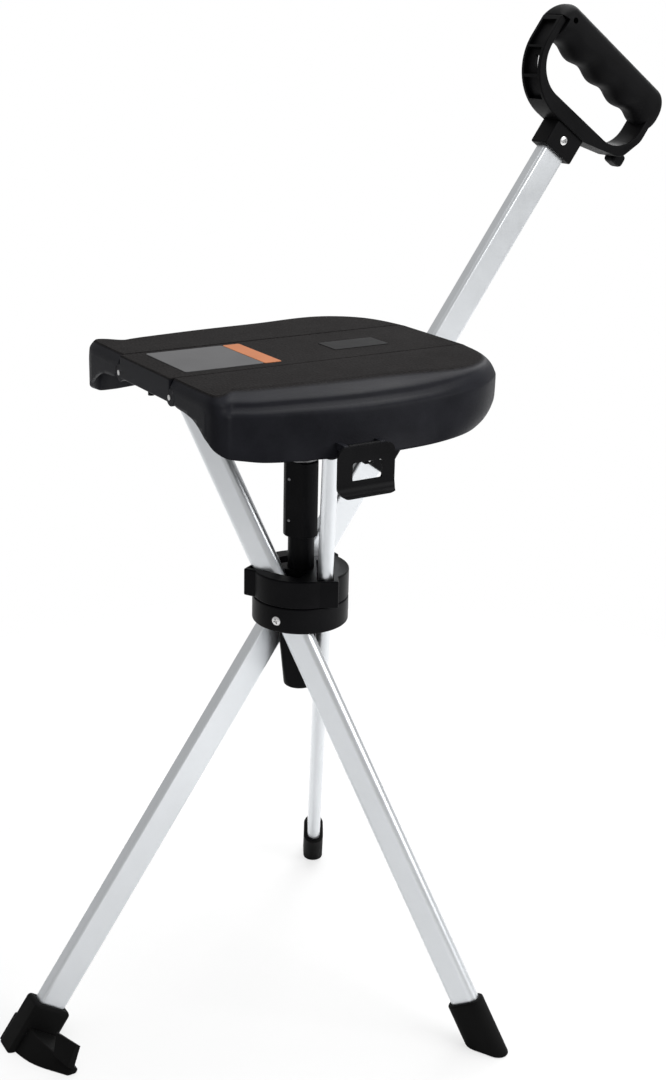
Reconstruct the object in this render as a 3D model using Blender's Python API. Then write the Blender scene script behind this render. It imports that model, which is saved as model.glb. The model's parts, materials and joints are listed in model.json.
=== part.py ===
"""Folding walking stick seat: three tubes crossing in a hub, a winged seat and a D handle.

Metres, +Z up. The hub stands on the Z axis of the model space, the seat's front points to -X
and the long tube rises towards +X to the handle. An empty on each joint's axis carries the
pieces that turn or slide there.
"""
from math import atan2, cos, pi, radians, sin, sqrt

import bmesh
import bpy
from mathutils import Matrix, Vector

# Clearances
GAP = 0.0003
SLIDE_GAP = 0.0006
SINK = 0.0010
MERGE = 0.00001

# Tripod
PIVOT_Z = 0.3003
LEG_OFFSET = 0.0171
LONG_LEAN = radians(35.2)
SHORT_LEAN = radians(29.35)
LEG_TURN = {"long": radians(180), "near": radians(300), "far": radians(60)}
LEG_LEAN = {"long": LONG_LEAN, "near": SHORT_LEAN, "far": SHORT_LEAN}

# Tubes
TUBE_WIDTH = 0.0220
TUBE_THICK = 0.0105
TUBE_WALL = 0.0013
LONG_CORNER = 0.0024
SHORT_CORNER = 0.0050
LONG_TUBE_LOW = -0.3500
LONG_TUBE_TOP = 0.4000
SHORT_TUBE_LOW = -0.3330
SHORT_TUBE_TOP = 0.1625
CAP_HEIGHT = 0.0035
PLUG_DEPTH = 0.0120

# Hub
HUB_RADIUS = 0.0347
HUB_DROP = 0.0083
HUB_LOWER_HEIGHT = 0.0186
HUB_UPPER_HEIGHT = 0.0204
HUB_LOW = PIVOT_Z - HUB_DROP
HUB_PARTING = HUB_LOW + HUB_LOWER_HEIGHT
HUB_TOP = HUB_PARTING + HUB_UPPER_HEIGHT
BULGE_WALL = 0.0034
BULGE_END = 0.0014
SCREW_HEAD_RADIUS = 0.0033
SCREW_HEAD_HEIGHT = 0.0018
SCREW_SHANK_RADIUS = 0.0016
SCREW_CROWN = 0.0004

# Post under the seat
POST_RADIUS = 0.0095
SLEEVE_RADIUS = 0.0130
SLEEVE_RISE = 0.0246
SLEEVE_LENGTH = 0.0550
SLEEVE_LOW = HUB_TOP + SLEEVE_RISE
SLEEVE_TOP = SLEEVE_LOW + SLEEVE_LENGTH
SLEEVE_FLAT = 0.0113
SLEEVE_TRAVEL = 0.0200
WASHER_THICK = 0.0016
WASHER_RADIUS = 0.0112
HEAD_RADIUS = 0.0085
HEAD_PAD_RADIUS = 0.0105
HEAD_PAD_THICK = 0.0060
HEAD_PAD_EDGE = 0.0010
TAIL_TOP_RADIUS = 0.0165
TAIL_END_RADIUS = 0.0112
TAIL_LENGTH = 0.0520

# Seat
SEAT_TOP = 0.4900
SEAT_FRONT = -0.1212
SEAT_BACK = 0.1155
CENTRE_HALF = 0.0377
SEAM = 0.0014
SEAT_WALL = 0.0030
FRONT_LIP = 0.0160
FRONT_EDGE = 0.0015
REAR_DROP = 0.0112
REAR_ROUND = 0.0120
POST_PAD_DROP = 0.0117
FLAP_HALF = 0.1235
SKIRT_DROP = 0.0410
HINGE_DROP = 0.0123
KNUCKLE_RADIUS = 0.0058
HINGE_PIN_RADIUS = 0.0018
FRONT_HINGE = (SEAT_FRONT, -0.0850)
REAR_HINGE = (0.0350, 0.0720)
ARCH_EDGE = ((0.0005, 0.0100), (0.0070, 0.0165), (0.0240, 0.0178), (0.0360, 0.0208), (0.0500, 0.0290),
             (0.0595, 0.0360), (0.0614, SKIRT_DROP))
FRONT_STEEP = 0.88
SHOULDER = 0.0300
RIDGE_INSET = 0.0085
RIDGE_DROP = 0.0109
REAR_TUCK = 0.0050
REAR_INSET = 0.0120
REAR_FALL = 0.0160
REAR_BLEND = (0.0150, 0.0850)
POST_PAD_RADIUS = 0.0095
PEG_X = -0.1130
PEG_Y = 0.0060
PEG_RADIUS = 0.0022
PEG_DROP = 0.0055

# Collar that slides on the long tube and carries the seat's pivot
SEAT_PIVOT_DROP = 0.0200
SEAT_PIVOT_FRONT = 0.0210
COLLAR_WALL = 0.0035
COLLAR_LOW = 0.1140
COLLAR_RISE = 0.0070
EAR_HALF = 0.0056
EAR_ROUND = 0.0052
COLLAR_EDGE = 0.0020
COLLAR_SCREW_RISE = 0.0100
LUG_THICK = 0.0030
SEAT_PIN_RADIUS = 0.0020

# Latch on the near flap
SKIRT_LOW = SEAT_TOP - SKIRT_DROP
LATCH_LEFT = -0.0530
LATCH_RIGHT = -0.0108
LATCH_TOP = SKIRT_LOW + 0.0093
LATCH_HEIGHT = 0.0245
LATCH_BEND = LATCH_TOP - LATCH_HEIGHT
LATCH_THICK = 0.0018
LATCH_LIP = 0.0064
LATCH_ROUND = 0.0060
WINDOW_SIDE = 0.0108
WINDOW_WIDTH = 0.0220
WINDOW_HEIGHT = 0.0120
WINDOW_RISE = 0.0020
LATCH_BARREL = 0.0022
LATCH_COVER = 0.0020
LATCH_PIN_RADIUS = 0.0011
LATCH_EAR = 0.0035
LATCH_EAR_INSET = 0.0060
LIP_SWEEP = radians(75)

# Handle, measured from the hub pivot along the long tube
HANDLE_HALF = 0.0612
HANDLE_TOP = 0.4748
HANDLE_LOW = 0.4020
HANDLE_ROUND = 0.0400
HEEL = (-0.0525, 0.4130, 0.0120)
HEEL_TOP = (0.4330, 0.0160)
ARM_TOP = 0.4600
GRIP_LOW = 0.4435
GRIP_WAVE = 0.0015
GRIP_WAVES = 4
HANDLE_THICK = 0.0215
GRIP_THICK = 0.0284
ARM = 0.0060
OPENING_HALF = HANDLE_HALF - ARM
OPENING_LOW = 0.4140
OPENING_ROUND = 0.0260
CHANNEL_HALF = 0.0078
CHANNEL_DEPTH = 0.0032
CHANNEL_RISE = 0.0140
CHANNEL_SWEEPS = ((1.0, -10.5), (-13.0, -41.0), (-44.0, -68.0))
WINDOW_SWEEP = (-20.0, -34.0)
WINDOW_DEEP = 0.0060
SOCKET_LOW = 0.3825
SOCKET_HALF = 0.0150
SOCKET_THICK = 0.0175
HANDLE_SCREW = (0.0010, 0.3930)
NUB = (0.0120, 0.0120, 0.0100)
NUB_DROP = 0.0040
NUB_SHIFT = 0.0030

# Feet
BOOT_TOP = -0.3060
BOOT_WIDTH = 0.0280
BOOT_THICK = 0.0164
FOOT_TOP = -0.3380
FOOT_HALF = 0.0155
FOOT_THICK = 0.0190
FOOT_BASE_TOP = -0.3560
FOOT_SIDE = 0.0111
FOOT_REACH = 0.0516
FOOT_FRONT = 0.0150
FOOT_BEND = (0.0075, 0.0250)
FOOT_TIP = -0.0070
FOOT_BACK = 0.0125
FOOT_RIM_TOP = -0.3400
FOOT_RIM_REACH = 0.0105
FOOT_RIM_THICK = 0.0036
FOOT_EDGE = 0.0030

# Round pieces
RING_STEPS = 48
PIN_STEPS = 16


for old in list(bpy.data.objects):
    bpy.data.objects.remove(old, do_unlink=True)

parts = bpy.data.collections.new("walking_stick_seat")
cutters = bpy.data.collections.new("cutters")
bpy.context.scene.collection.children.link(parts)
bpy.context.scene.collection.children.link(cutters)


def finish(name, colour, roughness, metallic):
    """One plain surface finish."""
    material = bpy.data.materials.new(name)
    material.use_nodes = True
    shader = material.node_tree.nodes["Principled BSDF"]
    shader.inputs["Base Color"].default_value = (*colour, 1.0)
    shader.inputs["Roughness"].default_value = roughness
    shader.inputs["Metallic"].default_value = metallic
    return material


ANODISED = finish("anodised_aluminium", (0.72, 0.74, 0.76), 0.35, 0.9)
PLASTIC = finish("black_plastic", (0.012, 0.012, 0.014), 0.42, 0.0)
SEAT_PLASTIC = finish("charcoal_plastic", (0.022, 0.021, 0.023), 0.55, 0.0)
RUBBER = finish("black_rubber", (0.010, 0.010, 0.010), 0.70, 0.0)
STEEL = finish("bright_steel", (0.65, 0.65, 0.66), 0.25, 1.0)


def empty(name, parent=None, matrix=None):
    """An axis that pieces hang on."""
    pivot = bpy.data.objects.new(name, None)
    parts.objects.link(pivot)
    pivot.parent = parent
    if matrix is not None:
        pivot.matrix_local = matrix
    return pivot


def new_piece(name, mesh, material, parent, smooth_angle=35.0):
    """A named solid, hung on an empty, with its mesh in the empty's own axes."""
    piece = bpy.data.objects.new(name, mesh)
    parts.objects.link(piece)
    piece.parent = parent
    mesh.materials.clear()
    mesh.materials.append(material)
    mesh.shade_smooth()
    mesh.set_sharp_from_angle(angle=radians(smooth_angle))
    return piece


def cutter(name, mesh, parent):
    """A solid that only cuts or joins."""
    tool = bpy.data.objects.new(name, mesh)
    cutters.objects.link(tool)
    tool.parent = parent
    tool.hide_render = True
    tool.display_type = "WIRE"
    return tool


def boolean(piece, tool, operation):
    step = piece.modifiers.new(tool.name, "BOOLEAN")
    step.operation = operation
    step.object = tool


def cut(piece, *meshes):
    for mesh in meshes:
        boolean(piece, cutter(f"{piece.name}_cut_{len(piece.modifiers)}", mesh, piece.parent), "DIFFERENCE")


def join(piece, *meshes):
    for mesh in meshes:
        boolean(piece, cutter(f"{piece.name}_add_{len(piece.modifiers)}", mesh, piece.parent), "UNION")


def to_mesh(name, bm):
    bmesh.ops.recalc_face_normals(bm, faces=bm.faces)
    mesh = bpy.data.meshes.new(name)
    bm.to_mesh(mesh)
    bm.free()
    return mesh


def block(name, low, high, edge=0.0, segments=2):
    """A box between two corners, with its edges rounded when edge is set."""
    bm = bmesh.new()
    bmesh.ops.create_cube(bm, size=1.0)
    size = [b - a for a, b in zip(low, high)]
    centre = [(a + b) / 2 for a, b in zip(low, high)]
    bmesh.ops.scale(bm, vec=size, verts=bm.verts)
    bmesh.ops.translate(bm, vec=centre, verts=bm.verts)
    if edge:
        bmesh.ops.bevel(bm, geom=bm.edges, offset=edge, segments=segments, profile=0.5, affect="EDGES",
                        material=-1)
    return to_mesh(name, bm)


def rod(name, start, end, radius, end_radius=None, steps=PIN_STEPS):
    """A straight round bar or cone between two points."""
    start = Vector(start)
    end = Vector(end)
    along = end - start
    turn = along.to_track_quat("Z", "Y").to_matrix().to_4x4()
    bm = bmesh.new()
    bmesh.ops.create_cone(
        bm, cap_ends=True, segments=steps, radius1=radius,
                          radius2=radius if end_radius is None else end_radius,
        depth=along.length, matrix=Matrix.Translation((start + end) / 2) @ turn)
    return to_mesh(name, bm)


def turned(name, profile, steps=RING_STEPS):
    """A shape turned round Z from (radius, height) points, bottom to top."""
    bm = bmesh.new()
    verts = [bm.verts.new((radius, 0.0, height)) for radius, height in profile]
    edges = [bm.edges.new(pair) for pair in zip(verts, verts[1:])]
    bmesh.ops.spin(
        bm, geom=verts + edges, cent=(0, 0, 0), axis=(0, 0, 1), angle=2 * pi, steps=steps, use_merge=True)
    bmesh.ops.remove_doubles(bm, verts=bm.verts, dist=MERGE)
    return to_mesh(name, bm)


def outline_mesh(name, outlines, thickness, matrix=None):
    """A flat outline, with holes when there are more outlines, as a plate centred on its plane."""
    curve = bpy.data.curves.new(name, "CURVE")
    curve.dimensions = "2D"
    curve.fill_mode = "BOTH"
    curve.extrude = thickness / 2
    for points in outlines:
        spline = curve.splines.new("POLY")
        spline.points.add(len(points) - 1)
        for point, place in zip(spline.points, points):
            point.co = (place[0], place[1], 0.0, 1.0)
        spline.use_cyclic_u = True
    shape = bpy.data.objects.new(name, curve)
    cutters.objects.link(shape)
    bpy.context.view_layer.update()
    mesh = bpy.data.meshes.new_from_object(shape.evaluated_get(bpy.context.evaluated_depsgraph_get()))
    bpy.data.objects.remove(shape)
    bm = bmesh.new()
    bm.from_mesh(mesh)
    bmesh.ops.remove_doubles(bm, verts=bm.verts, dist=MERGE)
    if matrix is not None:
        bmesh.ops.transform(bm, matrix=matrix, verts=bm.verts)
    return to_mesh(name, bm)


def loft(name, rings):
    """A closed solid through rings of equal count, with flat ends."""
    bm = bmesh.new()
    rows = [[bm.verts.new(point) for point in ring] for ring in rings]
    count = len(rings[0])
    for low, high in zip(rows, rows[1:]):
        for i in range(count):
            bm.faces.new((low[i], low[(i + 1) % count], high[(i + 1) % count], high[i]))
    bm.faces.new(rows[0])
    bm.faces.new(rows[-1])
    return to_mesh(name, bm)


def round_corners(corners, steps=4):
    """An outline from (x, y, radius) corners."""
    points = []
    for i, (x, y, radius) in enumerate(corners):
        here = Vector((x, y))
        before = (Vector(corners[i - 1][:2]) - here).normalized()
        after = (Vector(corners[(i + 1) % len(corners)][:2]) - here).normalized()
        if radius == 0:
            points.append((x, y))
            continue
        half = before.angle(after) / 2
        middle = (before + after).normalized()
        centre = here + middle * radius / sin(half)
        reach = radius / sin(half) * cos(half)
        start = here + before * reach - centre
        sweep = start.angle_signed(here + after * reach - centre)
        for k in range(steps + 1):
            spoke = start.copy()
            spoke.rotate(Matrix.Rotation(-sweep * k / steps, 2))
            points.append(tuple(centre + spoke))
    return points


def rounded_rectangle(width, height, radius, steps=4):
    x = width / 2
    y = height / 2
    return round_corners([(x, -y, radius), (x, y, radius), (-x, y, radius), (-x, -y, radius)], steps)


def smooth_line(points, steps=5):
    """A flowing line through points, as Catmull-Rom pieces."""
    line = []
    for i in range(len(points) - 1):
        p1 = Vector(points[i])
        p2 = Vector(points[i + 1])
        p0 = Vector(points[i - 1]) if i else 2 * p1 - p2
        p3 = Vector(points[i + 2]) if i + 2 < len(points) else 2 * p2 - p1
        for k in range(steps):
            t = k / steps
            line.append(0.5 * (2 * p1 + (p2 - p0) * t + (2 * p0 - 5 * p1 + 4 * p2 - p3) * t ** 2
                               + (3 * p1 - p0 - 3 * p2 + p3) * t ** 3))
    line.append(Vector(points[-1]))
    return line


# The axes
root = empty("walking_stick_seat")


def leg_axes(leg):
    """Foot direction and pivot direction of a leg, seen from above."""
    turn = LEG_TURN[leg]
    out = Vector((cos(turn), sin(turn), 0.0))
    return out, Vector((out.y, -out.x, 0.0))


def leg_matrix(leg):
    """Leg axes at its pivot: X across the tube in its swing plane, Z up the tube."""
    out, side = leg_axes(leg)
    lean = LEG_LEAN[leg]
    up = Vector((0.0, 0.0, 1.0))
    along = -out * sin(lean) + up * cos(lean)
    across = out * cos(lean) + up * sin(lean)
    turn = Matrix((across, -side, along)).transposed().to_4x4()
    return Matrix.Translation(side * LEG_OFFSET + up * PIVOT_Z) @ turn


hub_axis = empty("hub_axis", root)
leg_pivot = {leg: empty(f"{leg}_leg_pivot", root, leg_matrix(leg)) for leg in LEG_TURN}
sleeve_slide = empty("sleeve_slide", root, Matrix.Translation((0.0, 0.0, SLEEVE_LOW)))

# The seat pivot lies ahead of the long tube by SEAT_PIVOT_FRONT and below the seat by SEAT_PIVOT_DROP
PIVOT_ALONG = (SEAT_TOP - SEAT_PIVOT_DROP - PIVOT_Z - SEAT_PIVOT_FRONT * sin(LONG_LEAN)) / cos(LONG_LEAN)
seat_pivot_local = Vector((SEAT_PIVOT_FRONT, 0.0, PIVOT_ALONG))
seat_pivot_place = leg_matrix("long") @ seat_pivot_local
collar_slide = empty("collar_slide", leg_pivot["long"], Matrix.Translation(seat_pivot_local))
seat_pivot = empty("seat_pivot", root, Matrix.Translation(seat_pivot_place))
HINGE_Y = CENTRE_HALF + SEAM / 2
HINGE_Z = SEAT_TOP - HINGE_DROP
flap_hinge = {
    side: empty(f"{side}_flap_hinge", root, Matrix.Translation((0.0, sign * HINGE_Y, HINGE_Z)))
    for side, sign in (("near", -1.0), ("far", 1.0))}
WALL_Y = FLAP_HALF
LATCH_INNER = WALL_Y + SLIDE_GAP
LATCH_AXIS_Y = LATCH_INNER + LATCH_BARREL
LATCH_AXIS_Z = LATCH_TOP - LATCH_COVER
EAR_SPANS = ((LATCH_LEFT + LATCH_EAR_INSET, LATCH_LEFT + LATCH_EAR_INSET + LATCH_EAR),
             (LATCH_RIGHT - LATCH_EAR_INSET - LATCH_EAR, LATCH_RIGHT - LATCH_EAR_INSET))
latch_hinge = empty("latch_hinge", root, Matrix.Translation((0.0, -LATCH_AXIS_Y, LATCH_AXIS_Z)))


def moved(mesh, pivot):
    """Model-space mesh brought into the axes of a pivot that isn't turned."""
    mesh.transform(Matrix.Translation(-pivot.matrix_local.translation))
    return mesh


# Tubes


def tube_outline(corner, grow=0.0):
    return rounded_rectangle(TUBE_WIDTH + 2 * grow, TUBE_THICK + 2 * grow, corner + grow)


def tube_mesh(name, corner, low, top):
    middle = Matrix.Translation((0.0, 0.0, (low + top) / 2))
    return outline_mesh(name, [tube_outline(corner), tube_outline(corner - TUBE_WALL / 2, -TUBE_WALL)],
                        top - low, middle)


def tube_core(name, corner, low, top, grow):
    middle = Matrix.Translation((0.0, 0.0, (low + top) / 2))
    return outline_mesh(name, [tube_outline(corner, grow)], top - low, middle)


PIVOT_BORE = SCREW_SHANK_RADIUS + GAP


def make_tube(leg, corner, low, top):
    piece = new_piece(f"{leg}_leg_tube", tube_mesh(f"{leg}_leg_tube", corner, low, top), ANODISED,
                      leg_pivot[leg])
    cut(piece, rod("bore", (0, -TUBE_THICK, 0), (0, TUBE_THICK, 0), PIVOT_BORE))
    return piece


make_tube("long", LONG_CORNER, LONG_TUBE_LOW, LONG_TUBE_TOP)
for leg in ("near", "far"):
    make_tube(leg, SHORT_CORNER, SHORT_TUBE_LOW, SHORT_TUBE_TOP)
    inner = [(TUBE_WALL + GAP, SHORT_TUBE_TOP - PLUG_DEPTH), (TUBE_WALL + GAP, SHORT_TUBE_TOP + GAP)]
    head = [(0.0, SHORT_TUBE_TOP + GAP), (0.0, SHORT_TUBE_TOP + CAP_HEIGHT / 2),
            (CAP_HEIGHT / 2, SHORT_TUBE_TOP + CAP_HEIGHT)]
    rings = []
    for shrink, height in inner + head:
        outline = rounded_rectangle(TUBE_WIDTH - 2 * shrink, TUBE_THICK - 2 * shrink, SHORT_CORNER - shrink)
        rings.append([(x, y, height) for x, y in outline])
    new_piece(f"{leg}_leg_cap", loft(f"{leg}_leg_cap", rings), PLASTIC, leg_pivot[leg])

# Feet


def floor_cut(name, leg, size=0.2):
    """Everything under the floor, in a leg's own axes."""
    mesh = block(name, (-size, -size, -size), (size, size, 0.0))
    mesh.transform(leg_matrix(leg).inverted() @ Matrix.Translation(leg_foot(leg)))
    return mesh


def leg_foot(leg):
    """Where the axis of a leg meets the floor."""
    out, side = leg_axes(leg)
    return out * PIVOT_Z * sin(LEG_LEAN[leg]) / cos(LEG_LEAN[leg]) + side * LEG_OFFSET


BOOT_DEEP = -0.3700
for leg in ("near", "far"):
    boot = outline_mesh(
        f"{leg}_leg_boot", [rounded_rectangle(BOOT_WIDTH, BOOT_THICK, BOOT_THICK / 2 - GAP)],
        BOOT_TOP - BOOT_DEEP, Matrix.Translation((0, 0, (BOOT_TOP + BOOT_DEEP) / 2)))
    boot = new_piece(f"{leg}_leg_boot", boot, RUBBER, leg_pivot[leg])
    cut(boot, floor_cut("floor", leg),
        tube_core("bore", SHORT_CORNER, SHORT_TUBE_LOW - GAP, BOOT_TOP + GAP, GAP))

FOOT_DEEP = -0.4100
foot_outline = smooth_line([(FOOT_FRONT, -FOOT_SIDE), FOOT_BEND, (FOOT_TIP, FOOT_REACH)])
foot_outline += [(-FOOT_BACK, FOOT_REACH), (-FOOT_BACK, -FOOT_SIDE)]
foot = new_piece("long_leg_foot", outline_mesh(
    "long_leg_foot", [foot_outline], FOOT_BASE_TOP - FOOT_DEEP,
    Matrix.Translation((0, 0, (FOOT_BASE_TOP + FOOT_DEEP) / 2))), RUBBER, leg_pivot["long"])
join(foot,
     block("foot_sleeve", (-FOOT_HALF, -FOOT_THICK / 2, FOOT_DEEP), (FOOT_HALF, FOOT_THICK / 2, FOOT_TOP),
           FOOT_EDGE))
RIM_REACH = FOOT_REACH - GAP
RIM_LEAN = 0.0070
rim_top = [(FOOT_RIM_REACH, RIM_REACH - 0.0056), (FOOT_TIP + RIM_LEAN, RIM_REACH),
           (FOOT_TIP + RIM_LEAN - FOOT_RIM_THICK, RIM_REACH), (FOOT_RIM_REACH - 0.0010, RIM_REACH - 0.0090)]
rim_foot = [(0.0003, RIM_REACH - 0.0040), (FOOT_TIP + RIM_LEAN / 2, RIM_REACH),
            (FOOT_TIP - FOOT_RIM_THICK / 2, RIM_REACH), (FOOT_TIP + 0.0020, RIM_REACH - 0.0010)]
join(foot, loft("foot_rim", [[(x, y, FOOT_BASE_TOP - SINK) for x, y in rim_foot],
                             [(x, y, FOOT_RIM_TOP) for x, y in rim_top]]))
cut(foot, tube_core("bore", LONG_CORNER, LONG_TUBE_LOW - GAP, FOOT_TOP + GAP, GAP),
    floor_cut("floor", "long"))

# Hub


def leg_slot(leg, low, high):
    """The slot that a leg swings in, between two heights of the hub."""
    lean = LEG_LEAN[leg]
    half = TUBE_WIDTH / 2
    reach = [-(z - PIVOT_Z) * sin(lean) / cos(lean) for z in (low, high)]
    start = min(min(reach) - half / cos(lean), -half) - SLIDE_GAP
    end = max(max(reach) + half / cos(lean), half) + SLIDE_GAP
    return start, end


def hub_block(name, leg, start, end, inner, outer, low, high, edge=0.0):
    """A box lined up with a leg's swing plane."""
    out, side = leg_axes(leg)
    mesh = block(name, (start, inner, low), (end, outer, high), edge)
    mesh.transform(Matrix((out, side, (0, 0, 1))).transposed().to_4x4())
    mesh.flip_normals()
    return mesh


SLOT_HALF = TUBE_THICK / 2 + SLIDE_GAP
HUB_BORE = POST_RADIUS + GAP


def ring_profile(low, high, edge=0.0012):
    return [(HUB_BORE, low), (HUB_RADIUS - edge, low), (HUB_RADIUS, low + edge), (HUB_RADIUS, high - edge),
            (HUB_RADIUS - edge, high), (HUB_BORE, high), (HUB_BORE, low)]


lower_ring = new_piece("hub_lower_ring", turned("hub_lower_ring", ring_profile(HUB_LOW, HUB_PARTING)),
                       PLASTIC, hub_axis)
upper_ring = new_piece("hub_upper_ring", turned("hub_upper_ring", ring_profile(HUB_PARTING + GAP, HUB_TOP)),
                       PLASTIC,
                       hub_axis)
for leg in LEG_TURN:
    start, end = leg_slot(leg, HUB_PARTING, HUB_TOP)
    join(upper_ring, hub_block("bulge", leg, start - BULGE_END, start + HUB_RADIUS / 2,
                               LEG_OFFSET - SLOT_HALF - BULGE_WALL,
                               LEG_OFFSET + SLOT_HALF + BULGE_WALL, HUB_PARTING + GAP, HUB_TOP))
for leg in LEG_TURN:
    out, side = leg_axes(leg)
    start, end = leg_slot(leg, HUB_PARTING, HUB_TOP)
    cut(upper_ring, hub_block("slot", leg, start, end, LEG_OFFSET - SLOT_HALF, LEG_OFFSET + SLOT_HALF,
                              HUB_PARTING - SLIDE_GAP, HUB_TOP + SLIDE_GAP))
    start, end = leg_slot(leg, HUB_LOW, HUB_PARTING)
    seat_depth = HUB_RADIUS - SCREW_HEAD_HEIGHT
    centre = Vector((0, 0, PIVOT_Z))
    cut(lower_ring,
        hub_block("slot", leg, start, end, LEG_OFFSET - SLOT_HALF, LEG_OFFSET + SLOT_HALF,
                  HUB_LOW - SLIDE_GAP, HUB_PARTING + SLIDE_GAP),
        rod("screw_bore", centre + side * LEG_OFFSET, centre + side * (HUB_RADIUS + GAP), PIVOT_BORE),
        rod("screw_seat", centre + side * seat_depth, centre + side * (HUB_RADIUS + 2 * SINK),
            SCREW_HEAD_RADIUS + GAP))
    tip = LEG_OFFSET - TUBE_THICK / 2
    screw = turned(f"{leg}_pivot_screw", [
        (0.0, tip), (SCREW_SHANK_RADIUS, tip), (SCREW_SHANK_RADIUS, seat_depth + GAP),
        (SCREW_HEAD_RADIUS, seat_depth + GAP), (SCREW_HEAD_RADIUS, HUB_RADIUS - SCREW_CROWN),
                                          (0.0, HUB_RADIUS + SCREW_CROWN)],
        PIN_STEPS)
    screw.transform(Matrix.Translation(centre) @ side.to_track_quat("Z", "Y").to_matrix().to_4x4())
    new_piece(f"{leg}_pivot_screw", screw, STEEL, hub_axis)

# Post, its sleeve and the head that carries the seat
POST_TOP = SLEEVE_TOP - SLEEVE_TRAVEL - SINK
new_piece("post_tube", turned("post_tube", [
    (0.0, HUB_LOW - GAP), (POST_RADIUS, HUB_LOW - GAP), (POST_RADIUS, POST_TOP), (0.0, POST_TOP)]), PLASTIC,
          hub_axis)
TAIL_ROUND = 0.0020
TAIL_TOP = HUB_LOW - 2 * GAP
TAIL_LOW = TAIL_TOP - TAIL_LENGTH
tail = new_piece("post_tail", turned("post_tail", [
    (0.0, TAIL_LOW), (TAIL_END_RADIUS - TAIL_ROUND, TAIL_LOW), (TAIL_END_RADIUS, TAIL_LOW + TAIL_ROUND),
    (TAIL_TOP_RADIUS, TAIL_TOP), (0.0, TAIL_TOP)]), PLASTIC, hub_axis)
for leg in LEG_TURN:
    cut(tail, hub_block("flat", leg, -HUB_RADIUS, HUB_RADIUS, SLEEVE_FLAT, HUB_RADIUS, TAIL_LOW - GAP,
                        TAIL_TOP + GAP))
SLEEVE_BORE = POST_RADIUS + GAP
SLEEVE_RIM = 0.0006
sleeve = new_piece("post_sleeve", moved(turned("post_sleeve", [
    (SLEEVE_BORE, SLEEVE_LOW), (SLEEVE_RADIUS - SLEEVE_RIM, SLEEVE_LOW),
                                                               (SLEEVE_RADIUS, SLEEVE_LOW + SLEEVE_RIM),
    (SLEEVE_RADIUS, SLEEVE_TOP), (SLEEVE_BORE, SLEEVE_TOP), (SLEEVE_BORE, SLEEVE_LOW)]), sleeve_slide),
    PLASTIC, sleeve_slide)
for leg in LEG_TURN:
    cut(sleeve, moved(hub_block("flat", leg, -HUB_RADIUS, HUB_RADIUS, SLEEVE_FLAT, HUB_RADIUS,
                                SLEEVE_LOW - GAP, SLEEVE_TOP + GAP), sleeve_slide))
washer_top = SLEEVE_TOP + GAP + WASHER_THICK
new_piece("post_washer", moved(turned("post_washer", [
    (0.0, SLEEVE_TOP + GAP), (WASHER_RADIUS, SLEEVE_TOP + GAP), (WASHER_RADIUS, washer_top),
                                                      (0.0, washer_top)]),
    sleeve_slide), STEEL, sleeve_slide)
head_top = SEAT_TOP - POST_PAD_DROP - GAP
new_piece("post_head", moved(turned("post_head", [
    (0.0, washer_top + GAP), (HEAD_RADIUS, washer_top + GAP), (HEAD_RADIUS, head_top - 2 * HEAD_PAD_THICK),
    (HEAD_PAD_RADIUS, head_top - HEAD_PAD_THICK), (HEAD_PAD_RADIUS, head_top - HEAD_PAD_EDGE),
    (HEAD_PAD_RADIUS - HEAD_PAD_EDGE, head_top), (0.0, head_top)]), sleeve_slide), PLASTIC, sleeve_slide)

# Centre panel of the seat


def upright(x0=0.0):
    """Turns an (x, z) outline upright, so that its plate's thickness lies along Y."""
    return Matrix(((1, 0, 0, 0), (0, 0, -1, x0), (0, 1, 0, 0), (0, 0, 0, 1)))


def rear_arc(inset, steps=5):
    """The seat's rounded rear edge, from its top to its back, in (x, z)."""
    centre_x = SEAT_BACK - REAR_ROUND
    points = []
    for k in range(steps + 1):
        angle = pi / 2 * (1 - k / steps)
        points.append((centre_x + (REAR_ROUND - inset) * cos(angle),
                       SEAT_TOP - REAR_DROP + (REAR_DROP - inset) * sin(angle)))
    return points


panel_outline = [(SEAT_FRONT, SEAT_TOP - FRONT_LIP), (SEAT_FRONT, SEAT_TOP - FRONT_EDGE),
                 (SEAT_FRONT + FRONT_EDGE, SEAT_TOP)]
panel_outline += rear_arc(0.0)
panel_outline += list(reversed(rear_arc(SEAT_WALL)))
panel_outline += [(SEAT_FRONT + SEAT_WALL, SEAT_TOP - SEAT_WALL),
                  (SEAT_FRONT + SEAT_WALL, SEAT_TOP - FRONT_LIP)]
panel = new_piece("centre_panel", moved(outline_mesh(
    "centre_panel", [panel_outline], 2 * CENTRE_HALF, upright()), seat_pivot), SEAT_PLASTIC, seat_pivot)
UNDER = SEAT_TOP - SEAT_WALL


def hinge_lengths(span, count):
    """Knuckle places along a hinge, in turn for the panel and for the flap."""
    pitch = (span[1] - span[0]) / count
    return [(span[0] + i * pitch + GAP / 2, span[0] + (i + 1) * pitch - GAP / 2) for i in range(count)]


KNUCKLES = 3
SIDE_WALL = 0.0024
PIN_FREE = HINGE_PIN_RADIUS + GAP
BORE_OVERRUN = 0.0100
HINGE_SPANS = (FRONT_HINGE, REAR_HINGE)
SIDES = (("near", -1.0), ("far", 1.0))


def panel_knuckles(span):
    return hinge_lengths(span, KNUCKLES)[0::2]


def flap_knuckles(span):
    return hinge_lengths(span, KNUCKLES)[1::2]


def arc(centre, radius, start, end, steps=9):
    """Points on a circle, between two angles in degrees."""
    angles = [radians(start + (end - start) * k / steps) for k in range(steps + 1)]
    return [(centre[0] + radius * cos(angle), centre[1] + radius * sin(angle)) for angle in angles]


def along_x(start, end):
    """Turns a (y, z) outline so that its plate's thickness lies along X, between two places."""
    return Matrix(((0, 0, 1, (start + end) / 2), (1, 0, 0, 0), (0, 1, 0, 0), (0, 0, 0, 1)))


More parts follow.
